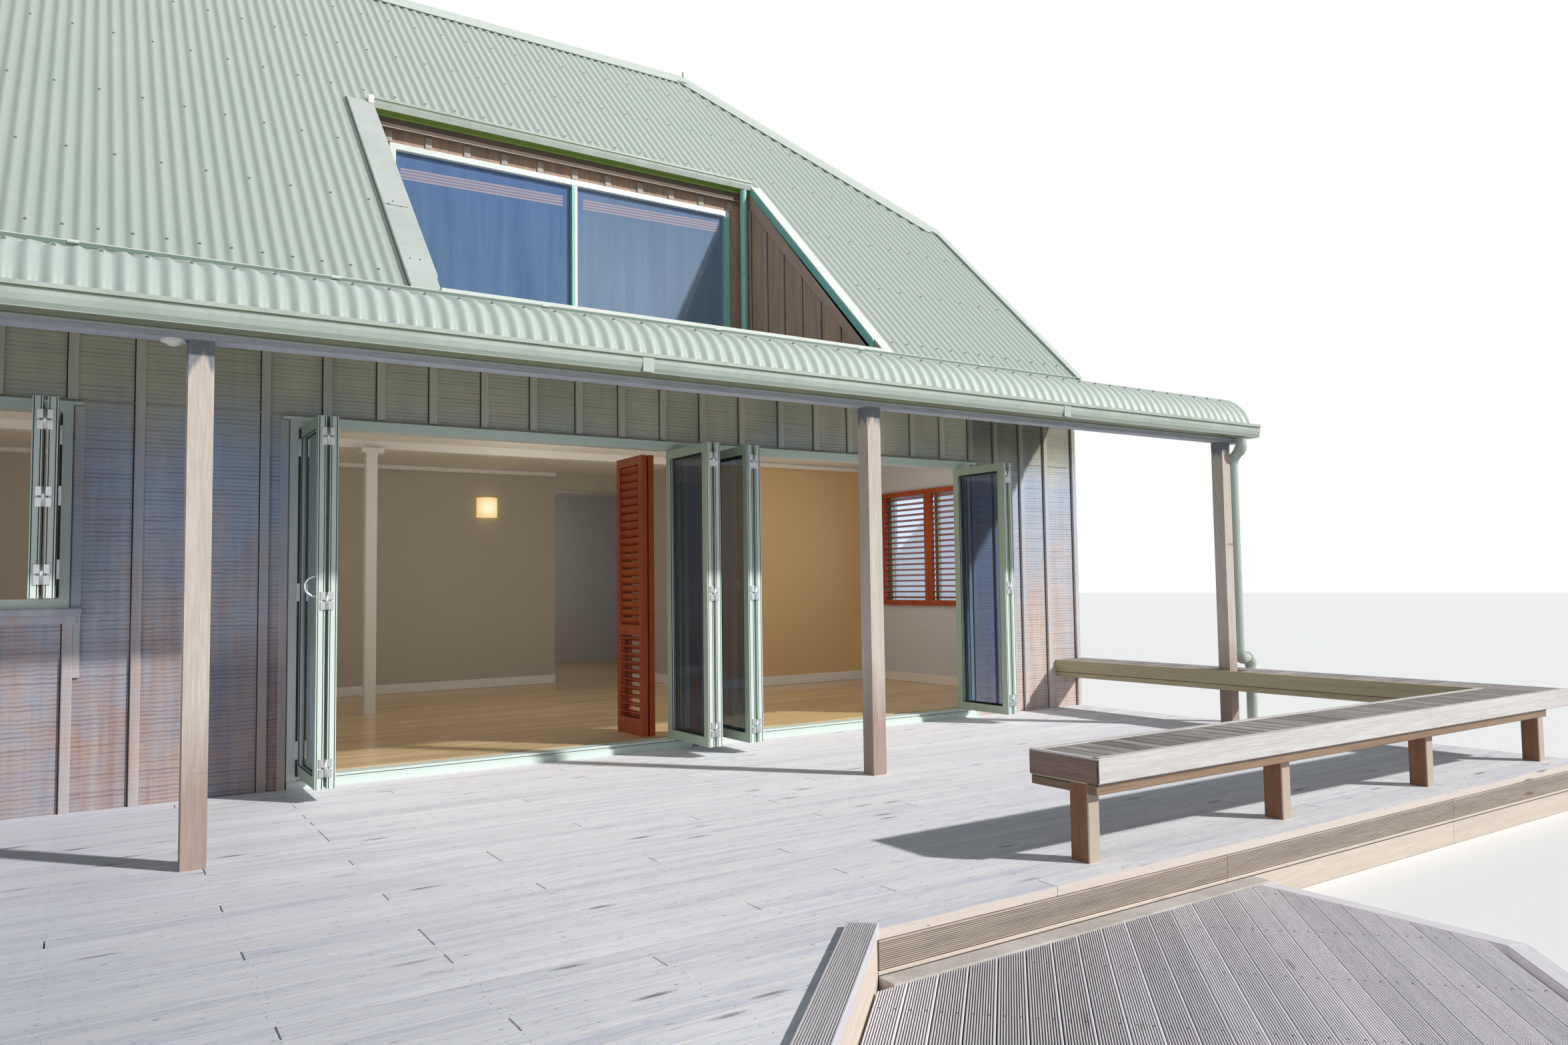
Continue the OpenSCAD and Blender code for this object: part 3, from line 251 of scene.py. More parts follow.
def painted(name, base, dirt, rough=0.42, amount=0.35, fall=2, metal=0.0, valley=None, sides=None, left_shade=None):
    """Painted metal or board: an even colour, dusty in patches and faint runs down it, with options for darker
    valleys (partly dirt, partly painted shade), painted shade on side faces and painted shade towards the left end.
    """
    s = Shade(name)
    v = s.coords()
    runs = s.noise(v, tuple(0.6 if i == fall else 9.0 for i in range(3)), 5, 0.65)
    patch = s.noise(v, 1.7, 4, 0.6)
    fac = s.times(s.level(runs, 0.42, 0.78), s.level(patch, 0.3, 0.75))
    # Darker in the corrugations' valleys: partly dirt, partly painted shade
    if valley:
        base = s.mix(s.times(s.tint(), 0.6), base, valley)
    # Painted shade: side faces in their own colour
    if sides:
        base = s.mix(s.facing(0, 0), base, sides)
    # Painted shade: darker towards the left end, for the uneven light across the roof
    if left_shade:
        base = s.mix(s.level(s.part(v, 0), 2.5, -4.0), base, left_shade, "MULTIPLY")
    base = s.mix(s.times(fac, amount), base, dirt)
    return s.done(base, s.level(patch, 0.3, 0.7, rough - 0.06, rough + 0.12), s.noise(v, 140.0, 2), 0.0004, metal)


def plywood(name, saw_lines=0.75, lift=0.0, inner=None):
    """Weathered band-sawn plywood: saw lines across, streaks, a green-grey top and rust-brown stains, with painted
    sun and shade on the front wall.
    """
    s = Shade(name)
    v = s.coords()
    x, y, z = (s.part(v, i) for i in range(3))
    teeth = s.node("TexWave", {"Vector": v, "Scale": 15.0, "Distortion": 2.2, "Detail": 2.0,
                               "Detail Scale": 1.4}, bands_direction="Z").outputs["Fac"]
    uneven = s.noise(v, (2.0, 2.0, 60.0), 4, 0.75)
    saw = s.plus(s.times(teeth, 0.25), s.times(uneven, 0.75))
    wide = s.noise(v, (3.2, 3.2, 0.6), 5, 0.65, 0.5)
    grain = s.noise(v, (17.0, 17.0, 0.9), 4, 0.6)
    streak = s.plus(s.times(wide, 0.5), s.times(grain, 0.5))
    # On the front wall the streaks are a light blue-grey, the blue of its shade under the verandah: painted shade
    blue = s.blend(streak, (162, 180, 206), (190, 204, 226), 0.66, 0.34)
    rust = s.blend(grain, (204, 156, 132), (222, 200, 188), 0.65, 0.35)
    green = s.blend(wide, (176, 175, 152), (206, 204, 180))
    low = s.level(z, 0.4, 1.9, 0.21, -0.05)
    patch = s.level(s.plus(s.noise(v, (2.6, 2.6, 1.3), 7, 0.72, 0.6), low), 0.48, 0.74)
    colour = s.mix(s.times(patch, 0.85), blue, rust)
    top = s.level(s.plus(z, s.times(wide, 0.5)), 2.28, 2.66)
    colour = s.mix(top, colour, green)
    front = s.under(y, FRONT + 0.1)
    other = s.mix(s.times(patch, 0.6), s.blend(streak, (146, 149, 152), (176, 177, 176), 0.66, 0.34),
                  s.blend(grain, (166, 146, 134), (190, 176, 166), 0.65, 0.35))
    high = s.times(s.level(s.plus(z, wide), 2.2, 4.2), 0.7)
    other = s.mix(high, other, (160, 159, 146))
    colour = s.mix(front, other, colour)
    # The right panel: painted sun low down and painted shade at its top
    right = s.times(front, s.over(x, RIGHT_PANEL))
    painted_sun = s.times(right, s.level(z, 2.3, 1.7))
    colour = s.mix(s.times(painted_sun, 0.35), colour, (212, 200, 190))
    colour = s.mix(s.times(right, s.times(s.level(z, 2.2, 2.45), 0.7)), colour, (84, 84, 74))
    # Painted shade: the left panels darker below about one metre, where the sun falls on them
    left = s.times(front, s.under(x, RIGHT_PANEL))
    colour = s.mix(s.times(left, s.level(z, 1.15, 0.9)), colour, (0.62, 0.60, 0.60, 1), "MULTIPLY")
    lines = s.blend(saw, (0.50, 0.50, 0.53, 1), (1, 1, 1, 1), 0.52, 0.30)
    colour = s.mix(s.level(top, 0, 1, saw_lines, saw_lines * 0.75), colour, lines, "MULTIPLY")
    if lift:
        colour = s.mix(lift, colour, (216, 208, 200))
    if inner:
        room = s.times(s.within(x, -INNER_X, INNER_X), s.within(y, -INNER_Y, INNER_Y))
        colour = s.mix(room, colour, inner)
    return s.done(colour, 0.85, saw, 0.0016)


def gutter_paint():
    """Gutter green, olive under its sole, a darker low band on the verandah gutter's face and teal on the pipe below
    the dormer's gutter, both painted shade.
    """
    s = Shade("gutter_green")
    v = s.coords()
    y, z = s.part(v, 1), s.part(v, 2)
    runs = s.noise(v, (6.0, 9.0, 0.6), 5, 0.65)
    colour = s.blend(runs, (160, 172, 161), (178, 187, 178), 0.62)
    sole = s.mix(s.over(z, 3.0), (128, 136, 106), (134, 160, 74))
    # Painted shade: a darker band low on the verandah gutter's face
    lower = s.times(s.within(z, 2.334, 2.352), s.under(y, -5.3))
    colour = s.mix(lower, colour, (146, 157, 146))
    colour = s.mix(s.facing(2, -1), colour, sole)
    # Painted shade: the pipe below the dormer's gutter in teal
    pipe = s.times(s.within(y, -2.2, 0.0), s.under(z, 4.872))
    colour = s.mix(pipe, colour, (136, 190, 176))
    return s.done(colour, 0.42, s.noise(v, 140.0, 2), 0.0004)


def flashing_paint():
    """Pale flashings, with the boards below the roof's surface in teal as painted shade."""
    s = Shade("flashing_paint")
    v = s.coords()
    over = s.minus(s.part(v, 2), s.plus(s.part(v, 1), RIDGE - 0.004))
    dust = s.noise(v, 2.4, 5, 0.65)
    pale = s.blend(dust, (172, 180, 175), (190, 196, 193), 0.65)
    white = s.blend(dust, (214, 219, 216), (230, 233, 231), 0.65)
    pale = s.mix(s.over(s.part(v, 0), 1.0), pale, white)
    teal = s.blend(dust, (112, 182, 168), (128, 198, 184), 0.65)
    # Painted shade: teal on the boards below the roof's surface
    colour = s.mix(s.under(over, 0.0), pale, teal)
    return s.done(colour, 0.45, s.noise(v, 120.0, 2), 0.0005)


def floor_boards():
    s = Shade("floor_wood")
    v = s.coords()
    planks = s.node("TexBrick", {"Vector": v, "Scale": 1.0, "Mortar Size": 0.0012, "Brick Width": 2.3,
                                 "Row Height": 0.085, "Color1": (0.62, 0.62, 0.62, 1),
                                 "Color2": (1, 1, 1, 1), "Mortar": (0.25, 0.25, 0.25, 1)}, offset=0.37)
    grain = s.noise(v, (1.5, 24.0, 24.0), 5, 0.65, 0.4)
    honey = s.blend(grain, (216, 178, 126), (246, 220, 174))
    colour = s.mix(0.6, honey, planks.outputs["Color"], "MULTIPLY")
    return s.done(colour, 0.28, grain, 0.0003, **{"Coat Weight": 0.3, "Coat Roughness": 0.12})


def glass(name, colour):
    s = Shade(name)
    v = s.coords()
    film = s.noise(s.scaled(v, (1.0, 1.0, 0.4)), 2.0, 4)
    return s.done(colour, s.level(film, 0, 1, 0.01, 0.05), None, **{"Transmission Weight": 1.0, "IOR": 1.46})


def dormer_pane():
    """Glass with a hazy painted reflection of blue sky, greyer on the right pane and bluer near the top, and a
    lowered blind seen as a slatted band near its top.
    """
    s = Shade("dormer_glass")
    v = s.coords()
    x, z = s.part(v, 0), s.part(v, 2)
    haze = s.noise(v, (7.0, 7.0, 0.5), 5, 0.7, 0.3)
    # Painted reflection of the sky, greyer on the right pane and bluer near the top
    sky = s.blend(haze, (74, 108, 150), (100, 134, 172), 0.7, 0.28)
    grey = s.blend(haze, (112, 136, 164), (130, 154, 180))
    sky = s.mix(s.over(x, WINDOW_MID), sky, grey)
    high = s.level(z, 4.0, 4.64)
    sky = s.mix(s.times(high, 0.35), sky, (78, 110, 172))
    drop = s.minus(z, s.times(s.minus(x, WINDOW_MID), 0.022))
    aside = s.math("ABSOLUTE", s.minus(x, WINDOW_MID), 0.0)
    band = s.times(s.within(drop, 4.475, 4.565), s.within(aside, 0.09, 1.40))
    slats = s.node("TexWave", {"Vector": s.node("CombineXYZ", {"Z": drop}).outputs[0], "Scale": 13.0,
                               "Distortion": 0.6}, bands_direction="Z").outputs["Fac"]
    blind = s.blend(slats, (150, 136, 156), (206, 190, 198), 0.8, 0.2)
    colour = s.mix(s.times(band, 0.62), sky, blind)
    return s.done(colour, 0.06, None, **{"Transmission Weight": 0.15, "IOR": 1.46})


def dormer_frame():
    """Near-white frame with its sheltered right jamb, part of its mullion and its right sill in teal, painted shade.
    """
    s = Shade("pale_frame")
    v = s.coords()
    x, z = s.part(v, 0), s.part(v, 2)
    dust = s.noise(v, 3.0, 5, 0.65)
    pale = s.blend(dust, (214, 222, 217), (230, 236, 232), 0.65)
    teal = s.blend(dust, (128, 186, 172), (144, 198, 184), 0.65)
    # Painted shade: teal on the sheltered parts
    below = s.under(z, 4.645)
    jamb = s.times(s.over(x, 2.803), below)
    mullion = s.times(s.within(x, 1.3, 1.374), below)
    sill = s.times(s.over(x, 1.376), s.under(z, 3.17))
    green = s.math("MAXIMUM", s.math("MAXIMUM", jamb, mullion), sill)
    colour = s.mix(green, pale, teal)
    return s.done(colour, 0.4, s.noise(v, 120.0, 2), 0.0005)


def concrete(name, a, b):
    s = Shade(name)
    v = s.coords()
    patch = s.noise(v, 5.0, 8, 0.7)
    grit = s.noise(v, 90.0, 4, 0.7)
    return s.done(s.blend(patch, a, b), 0.9, grit, 0.003)


# Roof and verandah: darker valleys, partly dirt and partly painted shade, and painted shade towards the left end
ROOF = painted("roof_steel", (186, 197, 189), (162, 173, 164), 0.45, 0.3, 1, valley=(164, 178, 169),
               left_shade=(0.64, 0.66, 0.67, 1))
# The verandah's paint is a lighter copy of the roof's: painted light
VERANDAH_PAINT = painted("verandah_steel", (201, 212, 204), (174, 185, 176), 0.45, 0.3, 1,
                         valley=(176, 190, 181), left_shade=(0.60, 0.63, 0.65, 1))
TRIM = painted("green_trim", (176, 187, 178), (146, 158, 148), 0.4, 0.3, 0)
PALE_TRIM = painted("pale_trim", (208, 214, 208), (180, 188, 180), 0.42, 0.25, 1)
CAP_PAINT = painted("cap_paint", (196, 205, 197), (176, 186, 177), 0.42, 0.25, 1)
FLASHING = flashing_paint()
GUTTER = gutter_paint()
# Dark green for painted shade: under the lap's edge, on the hems and cap edges and under the gutters' beads; also
# the small pieces under the lap's sleeves
HEM_SHADE = painted("hem_shade_green", (104, 124, 113), (84, 100, 92), 0.5, 0.3, 1)
# Frame paint whose side faces take a darker olive sage: painted shade
GREEN = painted("frame_green", (212, 226, 219), (186, 202, 194), 0.35, 0.3, 2, sides=(178, 196, 174))
PALE = dormer_frame()
LEAF_PAINT = painted("eave_green", (146, 176, 84), (120, 150, 70), 0.6, 0.3, 0)
PLY = plywood("plywood", inner=(212, 214, 220))
BATTEN = plywood("batten_ply", 0.2, 0.24)
BROWN = wood("brown_boards", (208, 168, 134), (132, 120, 116), along=2, across=12)
BROWN_BATTEN = wood("brown_batten", (206, 186, 168), (158, 136, 122), spread=0.2)
PALE_BATTEN = wood("pale_batten", (206, 196, 186), (166, 156, 148), spread=0.2)
EAVES_WOOD = wood("eaves_wood", (116, 96, 82), (78, 68, 62), along=0, across=20)
# Deck: its bands are painted shade, darker and bluer towards the left and a little darker towards the front
DECK_WOOD = wood("deck_wood", (252, 252, 255), (220, 220, 238), (64, 60, 60), spread=0.09,
                 contrast=(0.36, 0.54), across=20, front=(224, 208, 196), worn=0.08, shine=0.2,
                 bands=((0, -0.5, -1.9, (0.72, 0.73, 0.77, 1)), (1, -5.0, -6.2, (0.93, 0.93, 0.93, 1))))
# Painted shade: the dark lines in the bottoms of grooves
GROOVE_SHADE = wood("groove_shade", (120, 108, 104), (84, 76, 76), spread=0.3, across=20)
GREY_WOOD = wood("grooved_wood", (252, 248, 252), (222, 218, 224), (96, 84, 80), spread=0.16, across=22)
KERB_WOOD = wood("kerb_wood", (235, 232, 237), (191, 188, 193), spread=0.1, across=22)
TAN_WOOD = wood("brown_timber", (211, 195, 182), (155, 140, 129), (112, 86, 68), spread=0.14, across=24)
PEACH_WOOD = wood("peach_timber", (230, 216, 202), (202, 187, 173), (150, 124, 104), spread=0.08, across=24)
FRAMING = wood("framing_wood", (176, 150, 122), (132, 106, 84), along=1)
BENCH_WOOD = wood("bench_wood", (240, 236, 233), (194, 189, 186), (140, 122, 108), spread=0.1, across=22)
END_WOOD = wood("bench_end_wood", (180, 150, 138), (130, 106, 97), (76, 58, 52), spread=0.1, across=24)
OLIVE_WOOD = wood("olive_wood", (220, 206, 172), (178, 166, 132), (112, 100, 80), spread=0.12, across=22)
# Legs: darker on most faces and lighter on the fronts, painted shade and painted light
LEG_WOOD = wood("leg_wood", (166, 120, 92), (122, 85, 64), (84, 62, 50), spread=0.12, across=24,
                front=(196, 181, 165))
# The rail takes the legs' darker colour without their lighter front: painted shade under the fascia
RAIL_WOOD = wood("rail_wood", (166, 138, 112), (122, 98, 78), (84, 62, 50), spread=0.12, across=24)
SLAT_WOOD = wood("slat_wood", (190, 185, 182), (96, 84, 80), spread=0.40, across=26, contrast=(0.38, 0.60))
# Posts: browner towards the foot, and a blue-grey top band that is the gutter's painted shadow
POST_WOOD = wood("post_wood", (214, 206, 198), (180, 164, 152), (118, 96, 82), along=2, across=18,
                 bands=((2, 1.05, 0.70, (0.64, 0.55, 0.53, 1)), (2, 2.33, 2.37, (0.36, 0.44, 0.56, 1))))
BEAM_WOOD = wood("grey_wood", (200, 204, 212), (154, 160, 170), along=0)
RAFTER_WOOD = wood("rafter_wood", (188, 158, 120), (150, 120, 88), along=1)
SHUTTER = wood("shutter_wood", (196, 92, 46), (138, 54, 26), along=2, across=16, rough=0.4, depth=0.0004,
               coat=0.25)
FLOOR_WOOD = floor_boards()
WALL = painted("wall_paint", (192, 186, 172), (176, 170, 156), 0.8, 0.2)
CREAM = painted("cream_paint", (222, 190, 142), (206, 174, 128), 0.8, 0.2)
WHITE = painted("white_paint", (238, 236, 230), (220, 218, 210), 0.6, 0.2)
GLASS = glass("glass", (0.48, 0.55, 0.66, 1))
SKY_GLASS = dormer_pane()
METAL = painted("silver_metal", (206, 208, 210), (150, 152, 156), 0.3, 0.4, metal=0.9)
SCREW = painted("screw_metal", (132, 138, 136), (104, 110, 108), 0.5, 0.4, metal=0.3)
SEAL = painted("rubber_seal", (46, 48, 50), (30, 32, 34), 0.7, 0.3)
CONCRETE = concrete("concrete", (150, 148, 142), (186, 184, 176))
LIP = concrete("concrete_lip", (180, 173, 166), (217, 212, 208))
# Dark colour: painted shade beside battens and in narrow gaps, and the colour of nail heads, rivets and a lap joint
DARK = painted("dark_shade_and_fixings", (70, 66, 64), (52, 50, 48), 0.8, 0.3)


def lamp_material():
    s = Shade("lamp_glass")
    v = s.coords()
    spot = s.node("VectorMath", {0: v, 1: (1.413, 0.65, 2.118)}, operation="DISTANCE").outputs["Value"]
    colour = s.blend(s.level(spot, 0.03, 0.13, 1.0, 0.0), (232, 196, 132), (255, 244, 214), 1, 0)
    return s.done(colour, 0.35, **{"Emission Color": colour, "Emission Strength": 0.8})


LAMP = lamp_material()


# ---------------------------------------------------------------- mesh helpers
def box_profile(w, h, c):
    """Rectangle with cut corners, its corner at the origin."""
    return [(c, 0), (w - c, 0), (w, c), (w, h - c), (w - c, h), (c, h), (0, h - c), (0, c)]


def inset(poly, d):
    """Convex plan outline, drawn in by d on every side."""
    n = len(poly)
    lines = []
    for i in range(n):
        a, b = Vector(poly[i]), Vector(poly[(i + 1) % n])
        t = (b - a).normalized()
        normal = Vector((-t.y, t.x))
        lines.append((normal, normal.dot(a) + d))
    out = []
    for i in range(n):
        (n1, d1), (n2, d2) = lines[i - 1], lines[i]
        det = n1.x * n2.y - n1.y * n2.x
        if abs(det) < 1e-9:
            out.append(tuple(Vector(poly[i]) + n2 * d))
        else:
            out.append(((d1 * n2.y - d2 * n1.y) / det, (n1.x * d2 - n2.x * d1) / det))
    return out


def tube(n):
    """Faces round and across a prism of n sides, whose ends follow each other."""
    faces = [(i, (i + 1) % n, n + (i + 1) % n, n + i) for i in range(n)]
    return faces + [tuple(range(n - 1, -1, -1)), tuple(range(n, 2 * n))]


class Pile:
    """Collects solids of one piece: points, faces, a grain place and a tint for each point."""

    def __init__(self):
        self.v, self.f, self.g, self.t, self.s = [], [], [], [], []

    def add(self, points, faces, grain=None, tint=0.5, smooth=False):
        k = len(self.v)
        self.v += points
        self.f += [tuple(i + k for i in f) for f in faces]
        self.g += grain or [(p[0], p[1], p[2]) for p in points]
        self.t += tint if isinstance(tint, list) else [tint] * len(points)
        self.s += [smooth] * len(faces)

    def prism(self, profile, a, b, u, w, tint=None):
        """Profile in the plane of u and w, run from a to b."""
        a, b, u, w = Vector(a), Vector(b), Vector(u), Vector(w)
        jump = rng.uniform(0, 60)
        tint = rng.random() if tint is None else tint
        points, grain = [], []
        for end, s in ((a, 0), (b, (b - a).length)):
            for p, q in profile:
                points.append(tuple(end + u * p + w * q))
                grain.append((s + jump, p + jump, q))
        faces = tube(len(profile))
        if (b - a).dot(u.cross(w)) < 0:
            faces = [f[::-1] for f in faces]
        self.add(points, faces, grain, tint)

    def bar(self, lo, hi, c=0.002, axis=None, tint=None):
        """Box with cut edges along its longest side."""
        lo, hi = Vector(lo), Vector(hi)
        d = hi - lo
        if axis is None:
            axis = max(range(3), key=lambda i: d[i])
        i, j = (axis + 1) % 3, (axis + 2) % 3
        unit = Matrix.Identity(3)
        b = lo.copy()
        b[axis] = hi[axis]
        self.prism(box_profile(d[i], d[j], min(c, d[i] / 3, d[j] / 3)), lo, b, unit[i], unit[j], tint)

    def plank(self, poly, z0, z1, c=0.0015, turn=0.0, tint=None):
        """Convex outline in plan between two heights, with its top edges cut."""
        n = len(poly)
        jump = rng.uniform(0, 60)
        tint = rng.random() if tint is None else tint
        cs, sn = math.cos(turn), math.sin(turn)
        points, grain = [], []
        for ring, z in ((poly, z0), (poly, z1 - c), (inset(poly, c), z1)):
            for x, y in ring:
                points.append((x, y, z))
                grain.append((x * cs + y * sn + jump, y * cs - x * sn + jump * 0.3, z))
        faces = []
        for r in (0, 1):
            faces += [(r * n + i, r * n + (i + 1) % n, (r + 1) * n + (i + 1) % n, (r + 1) * n + i)
                      for i in range(n)]
        faces += [tuple(range(n - 1, -1, -1)), tuple(range(2 * n, 3 * n))]
        self.add(points, faces, grain, tint)

    def rod(self, a, b, r, sides=12, smooth=True):
        a, b = Vector(a), Vector(b)
        t = (b - a).normalized()
        u = t.orthogonal().normalized()
        w = t.cross(u)
        turns = [2 * math.pi * i / sides for i in range(sides)]
        self.prism([(r * math.cos(a), r * math.sin(a)) for a in turns], a, b, u, w, 0.5)
        if smooth:
            for k in range(sides):
                self.s[len(self.s) - 2 - sides + k] = True

    def grid(self, rows, thick):
        """Smooth sheet through rows of (point, normal, tint), with a thickness below it and sharp edges."""
        nc = len(rows[0])
        top = [tuple(p) for row in rows for p, _, _ in row]
        low = [tuple(Vector(p) - Vector(n) * thick) for row in rows for p, n, _ in row]
        tints = [t for row in rows for _, _, t in row]
        off = len(top)
        faces = []
        for i in range(len(rows) - 1):
            for j in range(nc - 1):
                a, b, c, d = i * nc + j, i * nc + j + 1, (i + 1) * nc + j + 1, (i + 1) * nc + j
                faces += [(a, b, c, d), (off + d, off + c, off + b, off + a)]
        self.add(top + low, faces, None, tints * 2, True)
        last = (len(rows) - 1) * nc
        loop = list(range(nc)) + [i * nc + nc - 1 for i in range(1, len(rows))]
        loop += list(range(last + nc - 2, last - 1, -1)) + [i * nc for i in range(len(rows) - 2, 0, -1)]
        n = len(loop)
        rim = [(loop[i], loop[(i + 1) % n]) for i in range(n)]
        for a, b in rim:
            self.add([top[b], top[a], low[a], low[b]], [(0, 1, 2, 3)], None, [tints[b], tints[a]] * 2)

    def make(self, name, material, slot, replaces=()):
        mesh = bpy.data.meshes.new(name)
        mesh.from_pydata(self.v, [], self.f)
        grain = mesh.attributes.new("grain", "FLOAT_VECTOR", "POINT")
        grain.data.foreach_set("vector", [c for p in self.g for c in p])
        tint = mesh.attributes.new("tint", "FLOAT", "POINT")
        tint.data.foreach_set("value", self.t)
        mesh.polygons.foreach_set("use_smooth", self.s)
        mesh.materials.append(material)
        mesh.update()
        obj = linked(name, mesh)
        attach(obj, "root")
        if replaces:
            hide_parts(*replaces)


def bars(name, material, slot, *rows):
    """One piece made of boxes alone."""
    p = Pile()
    for row in rows:
        p.bar(*row)
    p.make(name, material, slot)


# ---------------------------------------------------------------- materials of the solids
CAD_MATERIALS = {
    CONCRETE: "foundation", LIP: "deck_lip", FLOOR_WOOD: "floor",
    WHITE: "upper_floor inner_column bulkhead_light",
    PLY: "front_wall_left front_wall_sill front_wall_pier door_mullion front_wall_right front_wall_head back_wall "
         "left_end_wall right_end_wall",
    WALL: "partition_left partition_head partition_return", CREAM: "room_back_wall",
    LAMP: "wall_lamp",
    RAFTER_WOOD: "front_rafters back_rafters hip_rafters verandah_rafters",
    TRIM: "barge_boards dormer_kerb verandah_downpipe", GUTTER: "gutters dormer_gutter",
    PALE_TRIM: "dormer_floor", CAP_PAINT: "roof_caps", FLASHING: "dormer_flashings",
    BROWN: "dormer_cheeks dormer_wall", PALE: "dormer_window", SKY_GLASS: "dormer_glass",
    BEAM_WOOD: "verandah_beam", POST_WOOD: "verandah_posts",
    GREEN: "door_frame_left door_frame_right door_leaves front_window window_leaves end_windows back_windows",
    GLASS: "door_glass window_glass", METAL: "door_hardware",
    SHUTTER: "inside_shutter window_shutters", FRAMING: "deck_framing",
}
for material, names in CAD_MATERIALS.items():
    for name in names.split():
        slots = NODES[name].data.materials
        if len(slots) == 0:
            slots.append(material)
        for i in range(len(slots)):
            slots[i] = material


# ---------------------------------------------------------------- corrugated roof
WAVE = 0.0762
WAVE_D = 0.017
SHEET = 0.0036


def wave_places(lo, hi, steps=10):
    """Places across a sheet: both ends and so many to each wave."""
    places = [i * WAVE / steps for i in range(math.ceil(lo / WAVE * steps), math.floor(hi / WAVE * steps) + 1)]
    return [lo] + [x for x in places if lo < x < hi] + [hi]


def depth_at(u):
    """Nothing on a crest and one in a valley."""
    return (1 - math.cos(2 * math.pi * u / WAVE)) / 2


def dip(u):
    return -WAVE_D * depth_at(u)


def slope_rows(lo, hi, low, side):
    """Two rows of a corrugated slope in front (1) or at the back (-1), from its low line to hips and ridge."""
    n = Vector((0, -S45 * side, S45))
    rows = ([], [])
    for x in wave_places(lo, hi):
        for row, v in zip(rows, (low, slope_top(x))):
            row.append((Vector((x, v * side, RIDGE + v)) + n * dip(x), n, depth_at(x)))
    return rows if side > 0 else rows[::-1]


def slope_top(x):
    return min(0.0, -HIP + VERGE - abs(x))


def main_roof():
    p = Pile()
    low = FRONT - 0.03
    for x0, x1, y in ((-VERGE, RECESS_X0, low), (RECESS_X1, VERGE, low), (RECESS_X0, RECESS_X1, RECESS_Y)):
        p.grid(slope_rows(x0, x1, y, 1), SHEET)
    p.make("front_sheets", ROOF, "roof_steel", ["front_roof_sheet"])
    p = Pile()
    p.grid(slope_rows(-VERGE, VERGE, FRONT - 0.28, -1), SHEET)
    p.make("back_sheets", ROOF, "roof_steel", ["back_roof_sheet"])
    p = Pile()
    for side in (-1, 1):
        n = Vector((S45 * side, 0, S45))
        rows = ([], [])
        for y in wave_places(-HIP, HIP):
            for row, x in zip(rows, (VERGE, VERGE - HIP + abs(y))):
                z = RIDGE - HIP + VERGE - x
                row.append((Vector((x * side, y, z)) + n * dip(y), n, depth_at(y)))
        p.grid(rows if side > 0 else rows[::-1], SHEET)
    p.make("hip_sheets_waved", ROOF, "roof_steel", ["hip_sheets"])


def cap_wings():
    """Folded wings of the hip and ridge caps, with a turned-down edge over the corrugations, dark green as painted
    shade.
    """
    p, q = Pile(), Pile()
    end = CAP_WING + 0.002
    profile = [(0, 0.0035), (CAP_WING, 0.0035), (CAP_WING, 0.0065), (0, 0.0065)]
    # The turned-down edge's profile; its dark green is painted shade
    edge = [(end - 0.003, -0.010), (end, -0.010), (end, 0.004), (end - 0.003, 0.004)]
    for side in (-1, 1):
        for face in (-1, 1):
            foot = Vector((side * VERGE, face * HIP, RIDGE - HIP))
            head = Vector((side * (VERGE - HIP), 0, RIDGE))
            line = (head - foot).normalized()
            for normal in (Vector((0, S45 * face, S45)), Vector((S45 * side, 0, S45))):
                end_face = abs(normal.x) > 0.1
                down = line.cross(normal)
                if (down.y * face < 0) != end_face:
                    down = -down
                start = foot + line * (0.2 if end_face else 0.02)
                stop = head - line * CAP_WING * (1.42 if end_face else 0.52)
                p.prism(profile, start, stop if end_face else head, down, normal, 0.5)
                q.prism(edge, start, stop, down, normal, 0.5)
    for face in (-1, 1):
        slope = (0, S45 * face, -S45), (0, S45 * face, S45)
        for pile, shape, x in ((p, profile, VERGE - HIP), (q, edge, VERGE - HIP - CAP_WING * 0.52)):
            pile.prism(shape, (-x, 0, RIDGE), (x, 0, RIDGE), *slope, 0.5)
    p.make("cap_wings", CAP_PAINT, "green_trim")
    q.make("cap_edge_shade", HEM_SHADE, "green_trim")


CAP_WING = 0.21
VERANDAH_Z = 3.036
SLOPE_V = math.radians(15)
BULL_START = 1.43
BULL_R = 0.3
BULL_END = math.radians(80)


def verandah_line():
    """Places and normals in y and z along the verandah's sheet."""
    by = FRONT - BULL_START
    bz = VERANDAH_Z - BULL_START * math.tan(SLOPE_V)
    cy, cz = by + BULL_R * math.sin(SLOPE_V), bz - BULL_R * math.cos(SLOPE_V)
    line = [(FRONT, VERANDAH_Z, SLOPE_V)]
    for i in range(15):
        a = SLOPE_V + (BULL_END - SLOPE_V) * i / 14
        line.append((cy - BULL_R * math.sin(a), cz + BULL_R * math.cos(a), a))
    return line


def verandah_roof():
    p = Pile()
    rows = []
    for y, z, a in reversed(verandah_line()):
        n = Vector((0, -math.sin(a), math.cos(a)))
        rows.append([(Vector((x, y, z)) + n * dip(x), n, depth_at(x))
                     for x in wave_places(-HL - 0.06, HL + 0.06, 8)])
    p.grid(rows, SHEET)
    p.make("verandah_sheets", VERANDAH_PAINT, "roof_steel", ["verandah_roof"])


